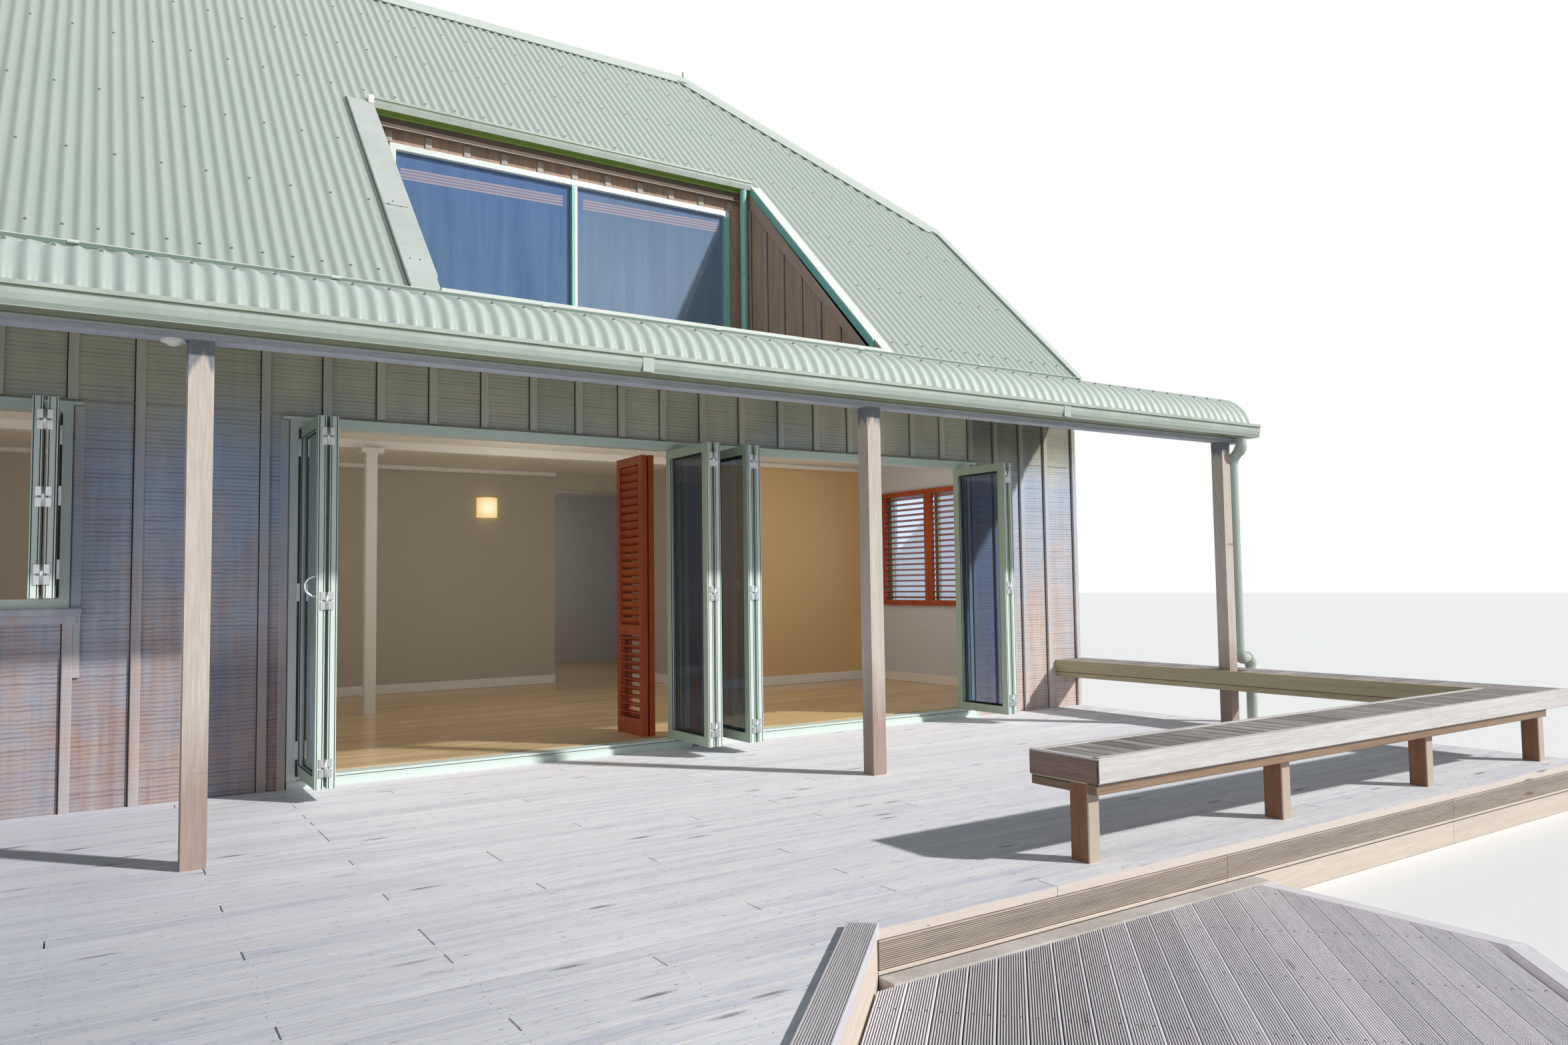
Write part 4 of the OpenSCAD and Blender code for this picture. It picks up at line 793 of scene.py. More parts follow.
def screws():
    """Hexagonal roofing screws with washers, on the crests."""
    p = Pile()

    def screw(at, n):
        p.rod(at, at + n * 0.002, 0.0085, 10)
        p.rod(at, at + n * 0.006, 0.0045, 6, False)

    for y, z, a in ((FRONT - 0.16, VERANDAH_Z - 0.16 * math.tan(SLOPE_V), SLOPE_V), verandah_line()[4]):
        n = Vector((0, -math.sin(a), math.cos(a)))
        for i in range(-66, 67, 2):
            screw(Vector((i * WAVE, y, z)), n)
    for side in (1, -1):
        n = Vector((0, -S45 * side, S45))
        for r, v in enumerate((-3.62, -3.0, -2.4, -1.72, -1.1, -0.5)):
            for i in range(-68 + r % 2, 69, 2 if r == 0 else 3):
                x = i * WAVE
                inside = side > 0 and RECESS_X0 - 0.2 < x < RECESS_X1 + 0.12 and v < RECESS_Y + 0.06
                if v < slope_top(x) - 0.12 and abs(x) < VERGE - 0.08 and not inside:
                    screw(Vector((x, v * side, RIDGE + v)), n)
    p.make("roof_screws", SCREW, "silver_metal")


def lap_flashing():
    """Thin folded edge with sleeves where the main roof meets the verandah, a dark strip under it as painted shade,
    small dark pieces under the sleeves, and the infill behind it.
    """
    p, q = Pile(), Pile()
    y, z, back = FRONT - 0.052, VERANDAH_Z, FRONT - 0.029
    for x0, x1, high in ((-HL, RECESS_X0, 0.006), (RECESS_X0, RECESS_X1, 0.024), (RECESS_X1, HL, 0.006)):
        p.bar((x0, y, z + 0.011), (x1, back, z + 0.011 + high), 0.0015, 0)
    # Painted shade: a dark strip under the edge
    q.bar((-HL, y + 0.001, z - 0.013), (HL, y + 0.008, z + 0.011), 0.0005, 0)
    x = -4.55
    while x < VERGE - 0.3:
        p.bar((x, y - 0.003, z + 0.004), (x + 0.05, back, z + 0.020), 0.003, 0)
        q.bar((x - 0.004, y + 0.001, z - 0.008), (x + 0.046, y + 0.02, z), 0.002, 0)
        x += 1.22
    p.make("lap_edge", PALE_TRIM, "green_trim")
    q.make("lap_hem_shade", HEM_SHADE, "green_trim")
    bars("lap_infill", ROOF, "roof_steel", ((-HL, y + 0.004, z - 0.036), (HL, y + 0.010, z), 0.0005, 0))


def gutter_trims():
    """Dark line under each gutter's bead as painted shadow, joint sleeves and the sole's edge strip."""
    top, face, end = 2.422, -5.422, HL + 0.04
    upper, x0, x1 = 4.9595, RECESS_X0 + 0.014, RECESS_X1 - 0.014
    # Painted shadow: a dark line under each gutter's bead
    bars("gutter_bead_shadow", HEM_SHADE, "green_trim",
         ((-end, face - 0.0006, top - 0.028), (end, face + 0.0005, top - 0.0235), 0.0004, 0),
         ((x0, -1.8986, upper - 0.026), (x1, -1.8975, upper - 0.0235), 0.0004, 0))
    sleeves = [((x, face - 0.0025, 2.332), (x + 0.06, face - 0.0005, top - 0.012), 0.001, 2)
               for x in (-3.35, 0.2, 3.1)]
    bars("gutter_sleeves", TRIM, "green_trim", *sleeves, ((-HL, -5.3035, 2.320), (HL, POST_Y, 2.3295), 0.002, 0))


main_roof()
cap_wings()
verandah_roof()
screws()
lap_flashing()
gutter_trims()


# ---------------------------------------------------------------- walls
BATTEN_XS = [-5.0975] + [-2.07 - 0.3 * i for i in range(9, 0, -1)]
BATTEN_XS += [-2.07, -1.783, -1.494, -1.204, -0.896, -0.611, -0.319, -0.014, 0.289, 0.586, 0.878, 1.176, 1.471,
              1.78, 2.103, 2.408, 2.71, 3.01, 3.31, 3.61, 3.91, 4.18, 4.472, 4.756, 5.0975]
BATTEN_W = 0.045
BATTEN_T = 0.02


def under_verandah(y):
    return VERANDAH_Z - 0.018 / math.cos(SLOPE_V) + (y - FRONT) * math.tan(SLOPE_V)


def front_battens():
    p, gap = Pile(), Pile()
    half, wide = BATTEN_W / 2, 0.003
    top = under_verandah(FRONT - BATTEN_T) - 0.004
    for x in BATTEN_XS:
        spans = [(PLINTH, top)]
        if any(lo - 0.02 < x < hi + 0.02 for lo, hi in (SET1, SET2)):
            spans = [(HEAD + 0.02, top)]
        elif FRONT_WINDOW[0] - 0.02 < x < FRONT_WINDOW[1] + 0.02:
            spans = [(PLINTH, SILL - 0.07), (HEAD + 0.02, top)]
        for z0, z1 in spans:
            p.bar((x - half, FRONT - BATTEN_T, z0), (x + half, FRONT, z1), wide)
            # Painted shadow: a dark strip beside each batten
            if x > -HL + 0.1:
                gap.bar((x - half - 0.006, FRONT - 0.0012, z0), (x - half, FRONT, z1), 0.0003)
    for x, z in ((SET1[0] - 0.048, PLINTH), (SET2[1] + 0.006, PLINTH), (FRONT_WINDOW[1] + 0.006, PLINTH + 0.7)):
        p.bar((x, FRONT - 0.016, z), (x + 0.042, FRONT, HEAD - 0.015), wide)
    p.make("front_battens", BATTEN, "plywood")
    gap.make("batten_shadows", DARK, "plywood")
    bars("sheet_joint", TAN_WOOD, "plywood",
         ((-HL, FRONT - 0.0035, HEAD + 0.017), (HL, FRONT, HEAD + 0.0225), 0.001))
    x0, x1 = FRONT_WINDOW
    bars("window_sill", BATTEN, "plywood",
         ((x0 - 0.05, FRONT - 0.045, SILL - 0.035), (x1 + 0.05, FRONT, SILL), 0.004),
         ((x0 - 0.03, FRONT - 0.022, SILL - 0.075), (x1 + 0.03, FRONT, SILL - 0.035), 0.003))


def surround(pile, axis, face, a, b, z0, z1):
    """Four trim boards round a window, on a wall's outer face across the given axis."""
    w, play = 0.045, 0.001
    near, far = sorted((face, face + math.copysign(0.03, face)))
    for a0, a1, c0, c1 in ((a - w, b + w, z0 - w, z0 - play), (a - w, b + w, z1 + play, z1 + w),
                           (a - w, a - play, z0, z1), (b + play, b + w, z0, z1)):
        if axis == 0:
            pile.bar((near, a0, c0), (far, a1, c1), 0.003)
        else:
            pile.bar((a0, near, c0), (a1, far, c1), 0.003)


def other_battens():
    """Battens and corner boards of the end walls and the back wall, cut round their windows."""
    p = Pile()
    half = BATTEN_W / 2
    ends = [(-1.98 - 0.725, -1.98 + 0.725, 1.08, 2.225), (-0.6, 0.6, 3.515, 4.615)]
    eave = EAVE - SHEET_V - RAFTER_V
    for side in (-1, 1):
        x0, x1 = sorted((side * HL, side * (HL + BATTEN_T)))
        for i in range(-12, 13):
            y = i * 0.3 + (half if i == -12 else -half if i == 12 else 0)
            top = min(eave + min(y - FRONT, BACK - y) - 0.03, eave - FRONT - HIP + 0.09)
            spans = [(PLINTH, top)]
            for y0, y1, z0, z1 in ends:
                if y0 - 0.05 < y < y1 + 0.05:
                    spans = [s for a, b in spans for s in ((a, z0 - 0.04), (z1 + 0.04, b))]
            for z0, z1 in spans:
                p.bar((x0, y - half, z0), (x1, y + half, z1), 0.003)
    for i in range(34):
        x = -HL + half + i * (2 * HL - BATTEN_W) / 33
        window = any(abs(x - c) < 0.775 for c in BACK_WINDOWS)
        for z0, z1 in [(PLINTH, 1.04), (2.265, eave - 0.01)] if window else [(PLINTH, eave - 0.01)]:
            p.bar((x - half, BACK, z0), (x + half, BACK + BATTEN_T, z1), 0.003)
    for window in ends:
        for side in (-1, 1):
            surround(p, 0, side * HL, *window)
    for c in BACK_WINDOWS:
        surround(p, 1, BACK, c - 0.725, c + 0.725, 1.08, 2.225)
    p.make("end_battens", BATTEN, "plywood")


front_battens()
other_battens()


# ---------------------------------------------------------------- decks
PITCH = 0.094
GROOVES = 10
BAY = 0.4875


def kerb_edge(y):
    """The deck boards' right end beside the kerb timber, at a place in y."""
    return STEP_X + (y - STEP_Y) - KERB_W * math.sqrt(2) - 0.003


def upper_deck():
    p, marks = Pile(), Pile()
    gap = 0.0012
    y1 = FRONT - 0.003
    while y1 > LOW_Y + 0.02:
        y0 = max(y1 - PITCH + gap, LOW_Y)
        if y0 < STEP_Y < y1:
            y0 = STEP_Y
        left_part = y1 <= STEP_Y + 0.001
        right = kerb_edge(y0) if left_part else HL
        x = -HL
        while x < right - 0.02:
            bays = rng.randint(2, 8) if x == -HL else round((x + HL - 0.1) / BAY) + rng.randint(4, 9)
            end = min(-HL + 0.1 + bays * BAY, right)
            if right - end < 0.6:
                end = right
            a = end - (0.0045 if end < right else 0)
            b = kerb_edge(y1) if end == right and left_part else a
            p.plank([(x, y0), (a, y0), (b, y1), (x, y1)], DECK - 0.032, DECK, 0.0008)
            x = end
        in_from = 0.01 if y1 - y0 < 0.05 else 0.02
        x = -HL + 0.1 + BAY
        while x < right - 0.03:
            for y in (y0 + in_from, max(y1 - 0.02, y0 + in_from)):
                at = Vector((x + rng.uniform(-0.012, 0.012), y + rng.uniform(-0.003, 0.003), DECK - 0.0022))
                marks.rod(at, at + Vector((0, 0, 0.0024)), 0.0026, 6)
            x += BAY
        y1 = y0 - gap
    p.make("deck_boards", DECK_WOOD, "deck_wood", ["upper_deck"])
    marks.make("deck_nails", SCREW, "silver_metal")


def grooved(width, height, count, depth, edge=0.004):
    """Profile of a board with grooves in its top, its corner at the origin."""
    pts = [(0, 0), (width, 0), (width, height - 0.002), (width - 0.002, height)]
    step = (width - 2 * edge) / count
    for i in range(count):
        a = width - edge - i * step
        pts += [(a - step * 0.26, height), (a - step * 0.34, height - depth), (a - step * 0.76, height - depth),
                (a - step * 0.84, height)]
    return pts + [(0.002, height), (0, height - 0.002)]


def strip(half, high):
    """Profile of the dark line in the bottom of a groove, painted shade."""
    return [(-half, 0), (half, 0), (half, high), (-half, high)]


def groove_at(width, count, i, edge=0.004):
    """Middle of a groove of that board, from the board's edge."""
    return width - edge - (i + 0.55) * (width - 2 * edge) / count


def clip_line(point, way, poly):
    """Where a line in plan enters and leaves a convex outline."""
    lo, hi = -1e9, 1e9
    for i in range(len(poly)):
        a, b = Vector(poly[i]), Vector(poly[(i + 1) % len(poly)])
        t = b - a
        normal = Vector((-t.y, t.x))
        top = normal.dot(a - point)
        rate = normal.dot(way)
        if abs(rate) < 1e-9:
            if top > 0:
                return None
        elif rate > 0:
            lo = max(lo, top / rate)
        else:
            hi = min(hi, top / rate)
    return (lo, hi) if hi - lo > 0.01 else None


def lower_deck():
    p, nails, grooves = Pile(), Pile(), Pile()
    way, side = Vector((S45, S45)), Vector((S45, -S45))
    pitch, edge = 0.088, 0.072
    corner, right, back = 1.512, 1.962, STEP_Y - 0.072
    inner = corner - edge * math.sqrt(2)
    mitre = (right - edge, LOW_Y + right - edge - inner)
    region = [(STEP_X - KERB_RUN, LOW_Y), (inner - 0.003, LOW_Y), (mitre[0] - 0.002, mitre[1]),
              (mitre[0] - 0.002, back), (STEP_X - edge, back)]
    profile = grooved(pitch - 0.005, 0.028, GROOVES, 0.006)
    place = (STEP_X - STEP_Y) * S45 + 0.004
    while place < 7.6:
        ends = [(side * (place + q), h, clip_line(side * (place + q), way, region)) for q, h in profile]
        hits = [e[2] for e in ends if e[2]]
        if len(hits) >= len(ends) - 8 and hits:
            jump = rng.uniform(0, 60)
            points, grain = [], []
            for k in (0, 1):
                for base, h, hit in ends:
                    hit = hit or (hits[0] if base.dot(side) < place + pitch / 2 else hits[-1])
                    q = base + way * hit[k]
                    points.append((q.x, max(q.y, LOW_Y), LOW_Z - 0.028 + h))
                    grain.append((hit[k] + jump, base.dot(side) + jump, h))
            p.add(points, [f[::-1] for f in tube(len(ends))], grain, rng.random())
            # Painted shade: a dark line in the bottom of each groove
            for i in range(GROOVES):
                base = side * (place + groove_at(pitch - 0.005, GROOVES, i))
                hit = clip_line(base, way, region)
                if hit:
                    a, b = (base + way * t for t in (hit[0] + 0.004, hit[1] - 0.004))
                    grooves.prism(strip(0.0013, 0.0012), (a.x, max(a.y, LOW_Y + 0.002), LOW_Z - 0.0062),
                                  (b.x, max(b.y, LOW_Y + 0.002), LOW_Z - 0.0062), side.to_3d(), (0, 0, 1))
            lo, hi = max(h[0] for h in hits), min(h[1] for h in hits)
            for t in (-9.0 + 0.45 * i for i in range(27)):
                if lo + 0.04 < t < hi - 0.04:
                    for q in (0.02, pitch - 0.024):
                        at = side * (place + q) + way * t
                        nails.rod((at.x, at.y, LOW_Z - 0.003), (at.x, at.y, LOW_Z + 0.0003), 0.0032, 6)
        place += pitch
    p.plank(inset(region, 0.01), 0.0, LOW_Z - 0.03, 0.001, tint=0.2)
    turn = (right, LOW_Y + right - corner)
    p.plank([mitre, turn, (right, back), (mitre[0], back)], 0.0, LOW_Z, 0.002, math.pi / 2, 0.9)
    p.plank([(inner, LOW_Y), (corner, LOW_Y), turn, mitre], 0.0, LOW_Z, 0.002, math.pi / 4, 0.9)
    p.make("lower_boards", GREY_WOOD, "grooved_wood", ["lower_deck"])
    nails.make("lower_nails", DARK, "silver_metal")
    grooves.make("lower_grooves", GROOVE_SHADE, "grooved_wood")


def kerb():
    p = Pile()
    z = Vector((0, 0, 1))
    a = Vector((STEP_X, STEP_Y, 0))
    way, across = Vector((-S45, -S45, 0)), Vector((-S45, S45, 0))
    end = a + way * KERB_RUN * math.sqrt(2)
    count, top = 13, DECK + 0.02
    p.prism(grooved(KERB_W, 0.04, count, 0.004, 0.005), a + z * (top - 0.04), end + z * (top - 0.04), across, z)
    p.make("kerb_top", KERB_WOOD, "deck_wood", ["deck_kerb"])
    p = Pile()
    # Painted shade: a dark line in the bottom of each groove
    for i in range(count):
        off = across * groove_at(KERB_W, count, i, 0.005) + z * (top - 0.0042)
        p.prism(strip(0.0011, 0.001), a + off + way * 0.004, end + off - way * 0.09, across, z)
    p.make("kerb_grooves", GROOVE_SHADE, "deck_wood")
    p = Pile()
    inner, outer, below = 0.006, KERB_W - 0.004, top - 0.042
    p.prism([(inner, 0), (outer, 0), (outer, below), (inner, below)], a, end, across, z)
    p.make("kerb_side", PEACH_WOOD, "brown_timber")


def step_boards():
    """Fascia with saw grooves, a plain board under it, the boards on the deck's outer sides, and dark lines in the
    grooves and strips in the gaps as painted shade.
    """
    p, low, saw = Pile(), Pile(), Pile()
    top, depth, count, high = DECK - 0.032, 0.0036, 13, 0.088
    z0, y0 = top - 0.092, STEP_Y
    step = (high - 0.008) / count
    pts = [(0.03, 0), (0.03, high), (0.002, high), (0, high - 0.002)]
    for i in range(count):
        a = high - 0.004 - i * step
        pts += [(0, a - step * 0.3), (depth, a - step * 0.45), (depth, a - step * 0.75), (0, a - step * 0.9)]
    pts += [(0, 0.002), (0.002, 0)]
    for a, b in ((STEP_X, 1.79), (1.793, 3.6), (3.603, HL)):
        p.prism(pts[::-1], (a, y0, z0), (b, y0, z0), (0, 1, 0), (0, 0, 1))
        # Painted shade: a dark line in each saw groove
        for i in range(count):
            z = top - 0.008 - (i + 0.6) * step
            saw.bar((a, y0 + depth - 0.0012, z - step * 0.14), (b, y0 + depth + 0.0004, z + step * 0.14), 0.0002, 0)
        low.bar((a, y0 + 0.006, 0.0), (b, y0 + 0.036, top - 0.097), 0.003, 0)
    sides = [(-HL, -HL + 0.03, LOW_Y, FRONT), (HL - 0.03, HL, y0 + 0.036, FRONT),
             (-HL + 0.03, STEP_X - KERB_RUN - KERB_W * math.sqrt(2), LOW_Y, LOW_Y + 0.03)]
    for a, b, y0, y1 in sides:
        for z0, z1 in ((0.002, 0.107), (0.111, top)):
            p.bar((a, y0, z0), (b, y1, z1), 0.003)
    p.make("step_fascia", TAN_WOOD, "brown_timber", ["step_boards"])
    saw.make("step_grooves", GROOVE_SHADE, "brown_timber")
    low.make("step_low_board", PEACH_WOOD, "brown_timber")
    # Painted shade: dark strips in the gaps between the boards
    gaps = ((0.2125, 0.2185, 0.009), (0.119, 0.1275, 0.009), (0.1055, 0.1095, 0.005))
    bars("step_shadow_gaps", DARK, "brown_timber", *[((STEP_X, STEP_Y + back, z0), (HL, STEP_Y + back + 0.012, z1),
                                                      0.0004, 0) for z0, z1, back in gaps])


def benches():
    """Benches of cross slats between fascia boards, on a rail with legs."""
    top, low = BENCH_Z, BENCH_Z - 0.096
    x0, x1, y0 = BENCH_X0, BENCH_X1, BENCH_Y0
    y1 = y0 + BENCH_W
    bx0 = x1 - BENCH_W
    board = 0.04
    rail_z = low - 0.042
    p = Pile()
    x = x0 + 0.024
    while x < x1 - board - 0.02:
        w = min(0.09, x1 - board - x)
        p.bar((x, y0 + board + 0.001, top - board), (x + w - 0.004, y1 - (board if x < bx0 - 0.1 else 0),
              top - 0.0015), 0.002, 1)
        x += 0.092
    y = y1 + 0.002
    px = HL - 0.188 + 0.0455
    while y < FRONT - 0.02:
        w = min(0.09, FRONT - y)
        start = px if y < POST_Y + 0.0905 and y + w > POST_Y - 0.0005 else bx0 + board
        p.bar((start, y, top - board), (x1 - board, y + w - 0.004, top - 0.0015), 0.002, 0)
        y += 0.092
    p.make("bench_slats", SLAT_WOOD, "bench_wood", ["benches"])
    bars("bench_fascias", BENCH_WOOD, "bench_wood",
         ((x0 + 0.006, y0, low), (x1, y0 + board, top), 0.003, 0),
         ((x0 + 0.022, y1 - board, low), (bx0, y1, top), 0.003, 0),
         ((x1 - board, y0 + board, low), (x1, FRONT, top), 0.003, 1))
    p = Pile()
    pts = [(0.022, 0), (0.022, 0.088), (0, 0.088)]
    for i in range(9):
        z = 0.088 - 0.004 - i * 0.0092
        pts += [(0, z), (0.0014, z - 0.0008), (0.0014, z - 0.0028), (0, z - 0.0036)]
    pts += [(0, 0)]
    p.prism(pts[::-1], (x0, y1, low), (x0, y0 + 0.007, low), (1, 0, 0), (0, 0, 1), 0.3)
    p.make("bench_end", END_WOOD, "bench_wood")
    bars("bench_end_cap", BENCH_WOOD, "bench_wood",
         ((x0, y0 + 0.004, low + 0.0885), (x0 + 0.024, y1, top), 0.002, 1))
    # Painted shade: dark strips in the front corner's slot and under the end
    bars("bench_slot_shadows", DARK, "bench_wood",
         ((x0 + 0.002, y0 + 0.002, low + 0.004), (x0 + 0.0065, y0 + 0.0075, top - 0.004), 0.0004, 2),
         ((x0 + 0.007, y0 + 0.06, low - 0.011), (x0 + 0.04, y1 - 0.006, low - 0.006), 0.0004, 1))
    bars("bench_end_strip", OLIVE_WOOD, "bench_wood",
         ((x0 + 0.003, y0 + 0.058, low - 0.006), (x0 + 0.03, y1 - 0.003, low), 0.001, 1))
    bars("bench_side", OLIVE_WOOD, "bench_wood",
         ((bx0, y1 - board, low), (bx0 + board, FRONT, top - 0.001), 0.003, 1),
         ((bx0 + 0.012, y1 - 0.02, rail_z), (bx0 + 0.057, FRONT, low - 0.004), 0.003, 1))
    bars("bench_rail", RAIL_WOOD, "bench_wood",
         ((x0 + 0.004, y0 + 0.012, rail_z), (bx0 + 0.057, y0 + 0.057, low - 0.005), 0.003, 0),
         ((x0 + 0.005, y0 + 0.058, rail_z), (x0 + 0.048, y1 - 0.006, low - 0.011), 0.003, 1))
    legs = [x0 + 0.004 + i * 1.247 for i in range(4)]
    bars("bench_frame", LEG_WOOD, "bench_wood",
         *[((x, y0 + 0.057, DECK), (x + 0.065, y0 + 0.147, low - 0.001), 0.004, 2) for x in legs])
    bars("bench_shadow_gap", EAVES_WOOD, "bench_wood",
         ((x0 + 0.006, y0 + 0.008, low - 0.009), (bx0 + 0.05, y0 + 0.05, low), 0.001, 0),
         ((bx0 + 0.016, y1, low - 0.005), (bx0 + 0.05, FRONT, low), 0.001, 1))


upper_deck()
lower_deck()
kerb()
step_boards()
benches()


# ---------------------------------------------------------------- dormer
def dormer():
    p, gap = Pile(), Pile()
    x0, x1, t, rake = RECESS_X0, RECESS_X1, 0.018, 0.14
    for i in range(7):
        y = WINDOW_Y - 0.1 - i * 0.27
        z1 = RIDGE + y - 0.25
        if z1 > RECESS_FLOOR + 0.1:
            for a, b in ((x1 - t, x1), (x0, x0 + t)):
                p.bar((a, y - 0.02, RECESS_FLOOR), (b, y + 0.02, z1), 0.003, 2)
            p.bar((x1 - t, y - 0.021, RECESS_FLOOR), (x1, y - 0.02, z1), 0.0002, 2)
            # Painted shadow: a dark strip beside each batten on the right cheek
            gap.bar((x1 - 0.003, y - 0.030, RECESS_FLOOR), (x1, y - 0.0211, z1), 0.0003, 2)
    for x in (x1 - 0.012, x0):
        p.prism([(0, 0), (0.012, 0), (0.012, rake), (0, rake)], (x, FRONT + 0.08, EAVE - 0.001 - rake),
                (x, RECESS_Y, RIDGE + RECESS_Y - 0.081 - rake), (1, 0, 0), (0, 0, 1), 0.5)
    p.make("dormer_battens", BROWN_BATTEN, "brown_boards")
    gap.make("dormer_batten_shadows", DARK, "brown_boards")
    p = Pile()
    z0, x = DORMER_HEAD + 0.004, x0 + 0.13
    while x < x1 - 0.05:
        p.bar((x, WINDOW_Y - 0.012, z0), (x + 0.052, WINDOW_Y, z0 + 0.088), 0.002, 2)
        x += 0.3
    p.bar((x0, RECESS_Y - 0.004, 4.786), (x1, RECESS_Y, 4.793), 0.001, 0)
    p.make("dormer_stubs", PALE_BATTEN, "brown_boards")
    bars("dormer_eave", EAVES_WOOD, "brown_boards",
         ((x0, RECESS_Y - 0.0025, 4.793), (x1, RECESS_Y, 4.8790), 0.001, 0))
    bars("dormer_eave_green", LEAF_PAINT, "green_trim",
         ((x0, RECESS_Y - 0.0045, 4.862), (x1, RECESS_Y - 0.0025, 4.8788), 0.0005, 0))


def dormer_trims():
    """Folded hem and lap joint on the left flashing, the hem dark green with a dark strip beside it as painted
    shade, clips on the downpipe and the gutter's end cap.
    """
    p, q = Pile(), Pile()
    right, up = Vector((1, 0, 0)), Vector((0, -S45, S45))
    x = RECESS_X0 - 0.172

    def on_slope(y):
        return Vector((x, y, RIDGE + y))

    a, b, c = (on_slope(y) for y in (FRONT - 0.022, RECESS_Y - 0.078, -3.03))
    # Painted shade: the hem in dark green and a dark strip beside it
    p.prism([(-0.011, 0), (0.004, 0), (0.006, 0.006), (0.0, 0.0135), (-0.008, 0.0135), (-0.011, 0.009)], a, b, right,
            up, 0.5)
    q.prism([(-0.0125, 0), (-0.0105, 0), (-0.0105, 0.010), (-0.0125, 0.010)], a, b, right, up, 0.5)
    q.prism([(0, 0.0082), (0.155, 0.0082), (0.155, 0.009), (0, 0.009)], c, c + Vector((0, 0.004, 0.004)), right, up,
            0.5)
    for y, off in ((-3.02, 0.035), (-3.03, 0.11), (-2.99, 0.07), (-3.5, 0.05), (-3.5, 0.11)):
        c = on_slope(y) + right * off
        q.rod(c + up * 0.008, c + up * 0.0105, 0.0055, 8)
    p.make("flashing_hem", HEM_SHADE, "green_trim")
    q.make("flashing_lap_and_shade", DARK, "green_trim")
    p = Pile()
    pipe_x, pipe_y = 2.951, -1.845
    for z in (3.29, 4.1):
        p.rod((pipe_x, pipe_y, z), (pipe_x, pipe_y, z + 0.022), 0.0355, 20)
    p.make("dormer_clips", GUTTER, "green_trim")
    bars("dormer_gutter_cap", WHITE, "green_trim",
         ((RECESS_X0 - 0.024, -1.902, 4.902), (RECESS_X0 + 0.014, -1.80, 4.964), 0.004, 1))


dormer()
dormer_trims()


# ---------------------------------------------------------------- rooms
def rooms():
    p = Pile()
    inner, wall_y, right_y = HL - 0.14, 0.7, -1.05
    for x0, x1, y in ((-inner, 2.139, wall_y), (3.099, inner, right_y)):
        p.bar((x0, y - 0.014, FLOOR), (x1, y, FLOOR + 0.09), 0.004, 0)
        p.bar((x0, y - 0.05, CEILING - 0.05), (x1, y, CEILING - 0.001), 0.015, 0)
    front_y = FRONT + 0.14
    for x, y0, y1 in ((2.985, right_y, wall_y), (-inner, front_y, wall_y), (inner - 0.014, front_y, right_y)):
        p.bar((x, y0, FLOOR), (x + 0.014, y1, FLOOR + 0.09), 0.004, 1)
    p.make("skirtings", WHITE, "white_paint")


rooms()


# ---------------------------------------------------------------- doors
def pair(x0, x1, right):
    """Places in x of the two leaves folded against one jamb."""
    a = x1 - 0.054 - 0.098 if right else x0 + 0.054
    return a, a + 0.058


LEAF_TOP = 2.198
DOOR_Z = 0.316
WINDOW_Z = 1.292
STACKS = [(pair(*where, right), z) for where, z in ((SET1, DOOR_Z), (SET2, DOOR_Z), (FRONT_WINDOW, WINDOW_Z))
          for right in (False, True)]
LEAF_Y0 = -4.215
LEAF_Y1 = -3.67
LEAF_T = 0.04
STILE = 0.058


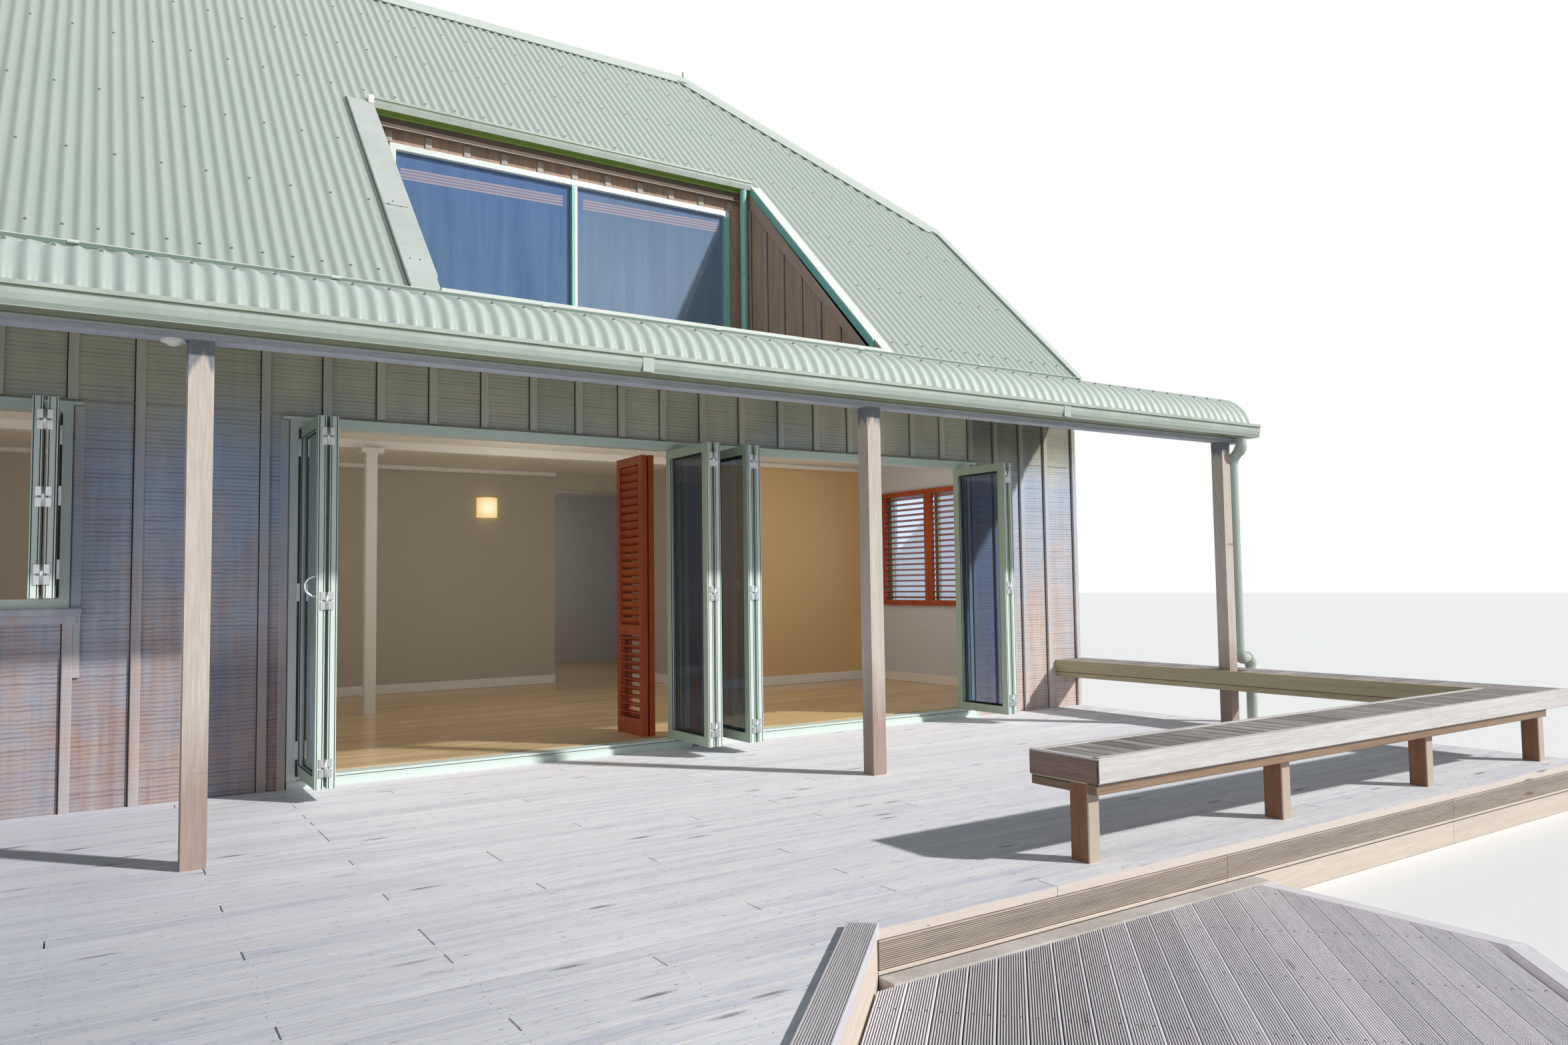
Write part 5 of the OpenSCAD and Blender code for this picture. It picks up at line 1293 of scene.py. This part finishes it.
def leaf_trims():
    """Dark seals round the panes and along the leaves' edges, two dark lines along each door sill as painted shade,
    and hinges with screwed plates.
    """
    seal, metal = Pile(), Pile()
    y0, y1 = LEAF_Y0 + STILE, LEAF_Y1 - STILE
    for xs, z0 in STACKS:
        z1, a, b = LEAF_TOP, z0 + STILE, LEAF_TOP - STILE
        for x in xs:
            for xa in (x + 0.001, x + LEAF_T - 0.005):
                for ya, yb, za, zb in ((y0, y0 + 0.005, a, b), (y1 - 0.005, y1, a, b), (y0, y1, a, a + 0.005),
                                       (y0, y1, b - 0.005, b)):
                    seal.bar((xa, ya, za), (xa + 0.004, yb, zb), 0.001)
            for xa in (x + 0.005, x + LEAF_T - 0.009):
                seal.bar((xa, LEAF_Y0 - 0.001, z0 + 0.002), (xa + 0.004, LEAF_Y0 + 0.002, z1 - 0.002), 0.0005)
        for z in (z0 + 0.06, (z0 + z1 - 0.09) / 2, z1 - 0.15):
            for x in (xs[0] + LEAF_T * 0.45, xs[1] - 0.002):
                for low in (0, 0.05):
                    metal.bar((x, LEAF_Y0 - 0.006, z + low), (x + 0.024, LEAF_Y0, z + low + 0.04), 0.001)
                for dz in (0.01, 0.03, 0.06, 0.08):
                    metal.rod((x + 0.012, LEAF_Y0 - 0.009, z + dz), (x + 0.012, LEAF_Y0 - 0.005, z + dz), 0.004, 8)
            x = xs[1] - 0.009
            metal.rod((x, LEAF_Y0 - 0.004, z), (x, LEAF_Y0 - 0.004, z + 0.09), 0.0085, 12)
    # dark seal and hinges where the outer leaves meet their jambs
    jambs = [(lo, 1, DOOR_Z) for lo, hi in (SET1, SET2)] + [(hi, -1, DOOR_Z) for lo, hi in (SET1, SET2)]
    jambs += [(FRONT_WINDOW[0], 1, WINDOW_Z), (FRONT_WINDOW[1], -1, WINDOW_Z)]
    for edge, way, z0 in jambs:
        a, b = sorted((edge + way * 0.043, edge + way * 0.0538))
        seal.bar((a, FRONT - 0.0125, z0), (b, FRONT - 0.008, 2.19), 0.0005, 2)
        for z in (z0 + 0.09, (z0 + 2.19) / 2, 2.04):
            metal.bar((a - 0.002, FRONT - 0.0165, z), (b + 0.002, FRONT - 0.012, z + 0.095), 0.0015, 2)
            for dz in (0.015, 0.045, 0.08):
                metal.rod(((a + b) / 2, FRONT - 0.019, z + dz), ((a + b) / 2, FRONT - 0.016, z + dz), 0.004, 8)
    # Painted shade: two dark lines along each door sill
    for lo, hi in (SET1, SET2):
        for z in (0.272, 0.294):
            seal.bar((lo + 0.05, FRONT - 0.0092, z), (hi - 0.05, FRONT - 0.0078, z + 0.0035), 0.0003, 0)
    seal.make("leaf_seals_and_sill_shade", SEAL, "frame_green")
    metal.make("leaf_hinges", METAL, "silver_metal")


leaf_trims()


# ---------------------------------------------------------------- floor, light and background
def room_lamps():
    """Soft warm light inside, so that the rooms behind the open doors show."""
    for i, (x, y, power) in enumerate(((-3.3, -1.5, 9), (-1.4, -1.9, 10), (1.1, -1.6, 10), (2.4, -2.2, 9),
                                       (4.0, -2.3, 8), (2.5, 2.1, 10))):
        data = bpy.data.lights.new("room_lamp_%d" % i, "POINT")
        data.energy, data.shadow_soft_size, data.color = power, 0.35, (1.0, 0.94, 0.86)
        lamp = linked(data.name, data)
        lamp.location = (x, y, 1.75)
        lamp.visible_camera = lamp.visible_glossy = lamp.visible_transmission = False


def seen_rays(tree):
    """Light path value that is one for what the camera, a mirror or glass sees."""
    path = tree.nodes.new("ShaderNodeLightPath")
    out = path.outputs["Is Camera Ray"]
    for name in ("Is Glossy Ray", "Is Transmission Ray"):
        n = tree.nodes.new("ShaderNodeMath")
        n.operation = "MAXIMUM"
        tree.links.new(out, n.inputs[0])
        tree.links.new(path.outputs[name], n.inputs[1])
        out = n.outputs[0]
    return out


def stage():
    bpy.ops.mesh.primitive_plane_add(size=160, location=(0, 0, -0.001))
    floor = bpy.context.object
    floor.name = "studio_floor"
    s = Shade("studio_floor")
    colour = s.mix(seen_rays(s.tree), (0.5, 0.5, 0.5, 1), (0.96, 0.96, 0.96, 1))
    floor.data.materials.append(s.done(colour, 0.9))
    for name, power, spread, tone, way in (("sun", 3.7, 2, (1.0, 0.985, 0.955), (-0.85, 1.0, -0.80)),
                                           ("fill", 0.56, 60, (1, 1, 1), (0.65, 0.76, -0.06)),
                                           ("rear", 0.5, 60, (1, 1, 1), (-0.25, -0.9, -0.35))):
        data = bpy.data.lights.new(name, "SUN")
        data.energy, data.angle, data.color = power, math.radians(spread), tone
        linked(name, data).rotation_euler = Vector(way).to_track_quat("-Z", "Y").to_euler()
    world = bpy.data.worlds.new("world")
    bpy.context.scene.world = world
    world.use_nodes = True
    t = world.node_tree
    t.nodes.clear()
    both = t.nodes.new("ShaderNodeMixShader")
    t.links.new(seen_rays(t), both.inputs[0])
    for i, (tone, power) in enumerate((((0.72, 0.86, 1.0, 1), 0.18), ((1, 1, 1, 1), 1.0))):
        sky = t.nodes.new("ShaderNodeBackground")
        sky.inputs[0].default_value = tone
        sky.inputs[1].default_value = power
        t.links.new(sky.outputs[0], both.inputs[1 + i])
    t.links.new(both.outputs[0], t.nodes.new("ShaderNodeOutputWorld").inputs[0])
    bpy.context.scene.view_settings.view_transform = "Standard"


room_lamps()
stage()

bpy.context.view_layer.update()
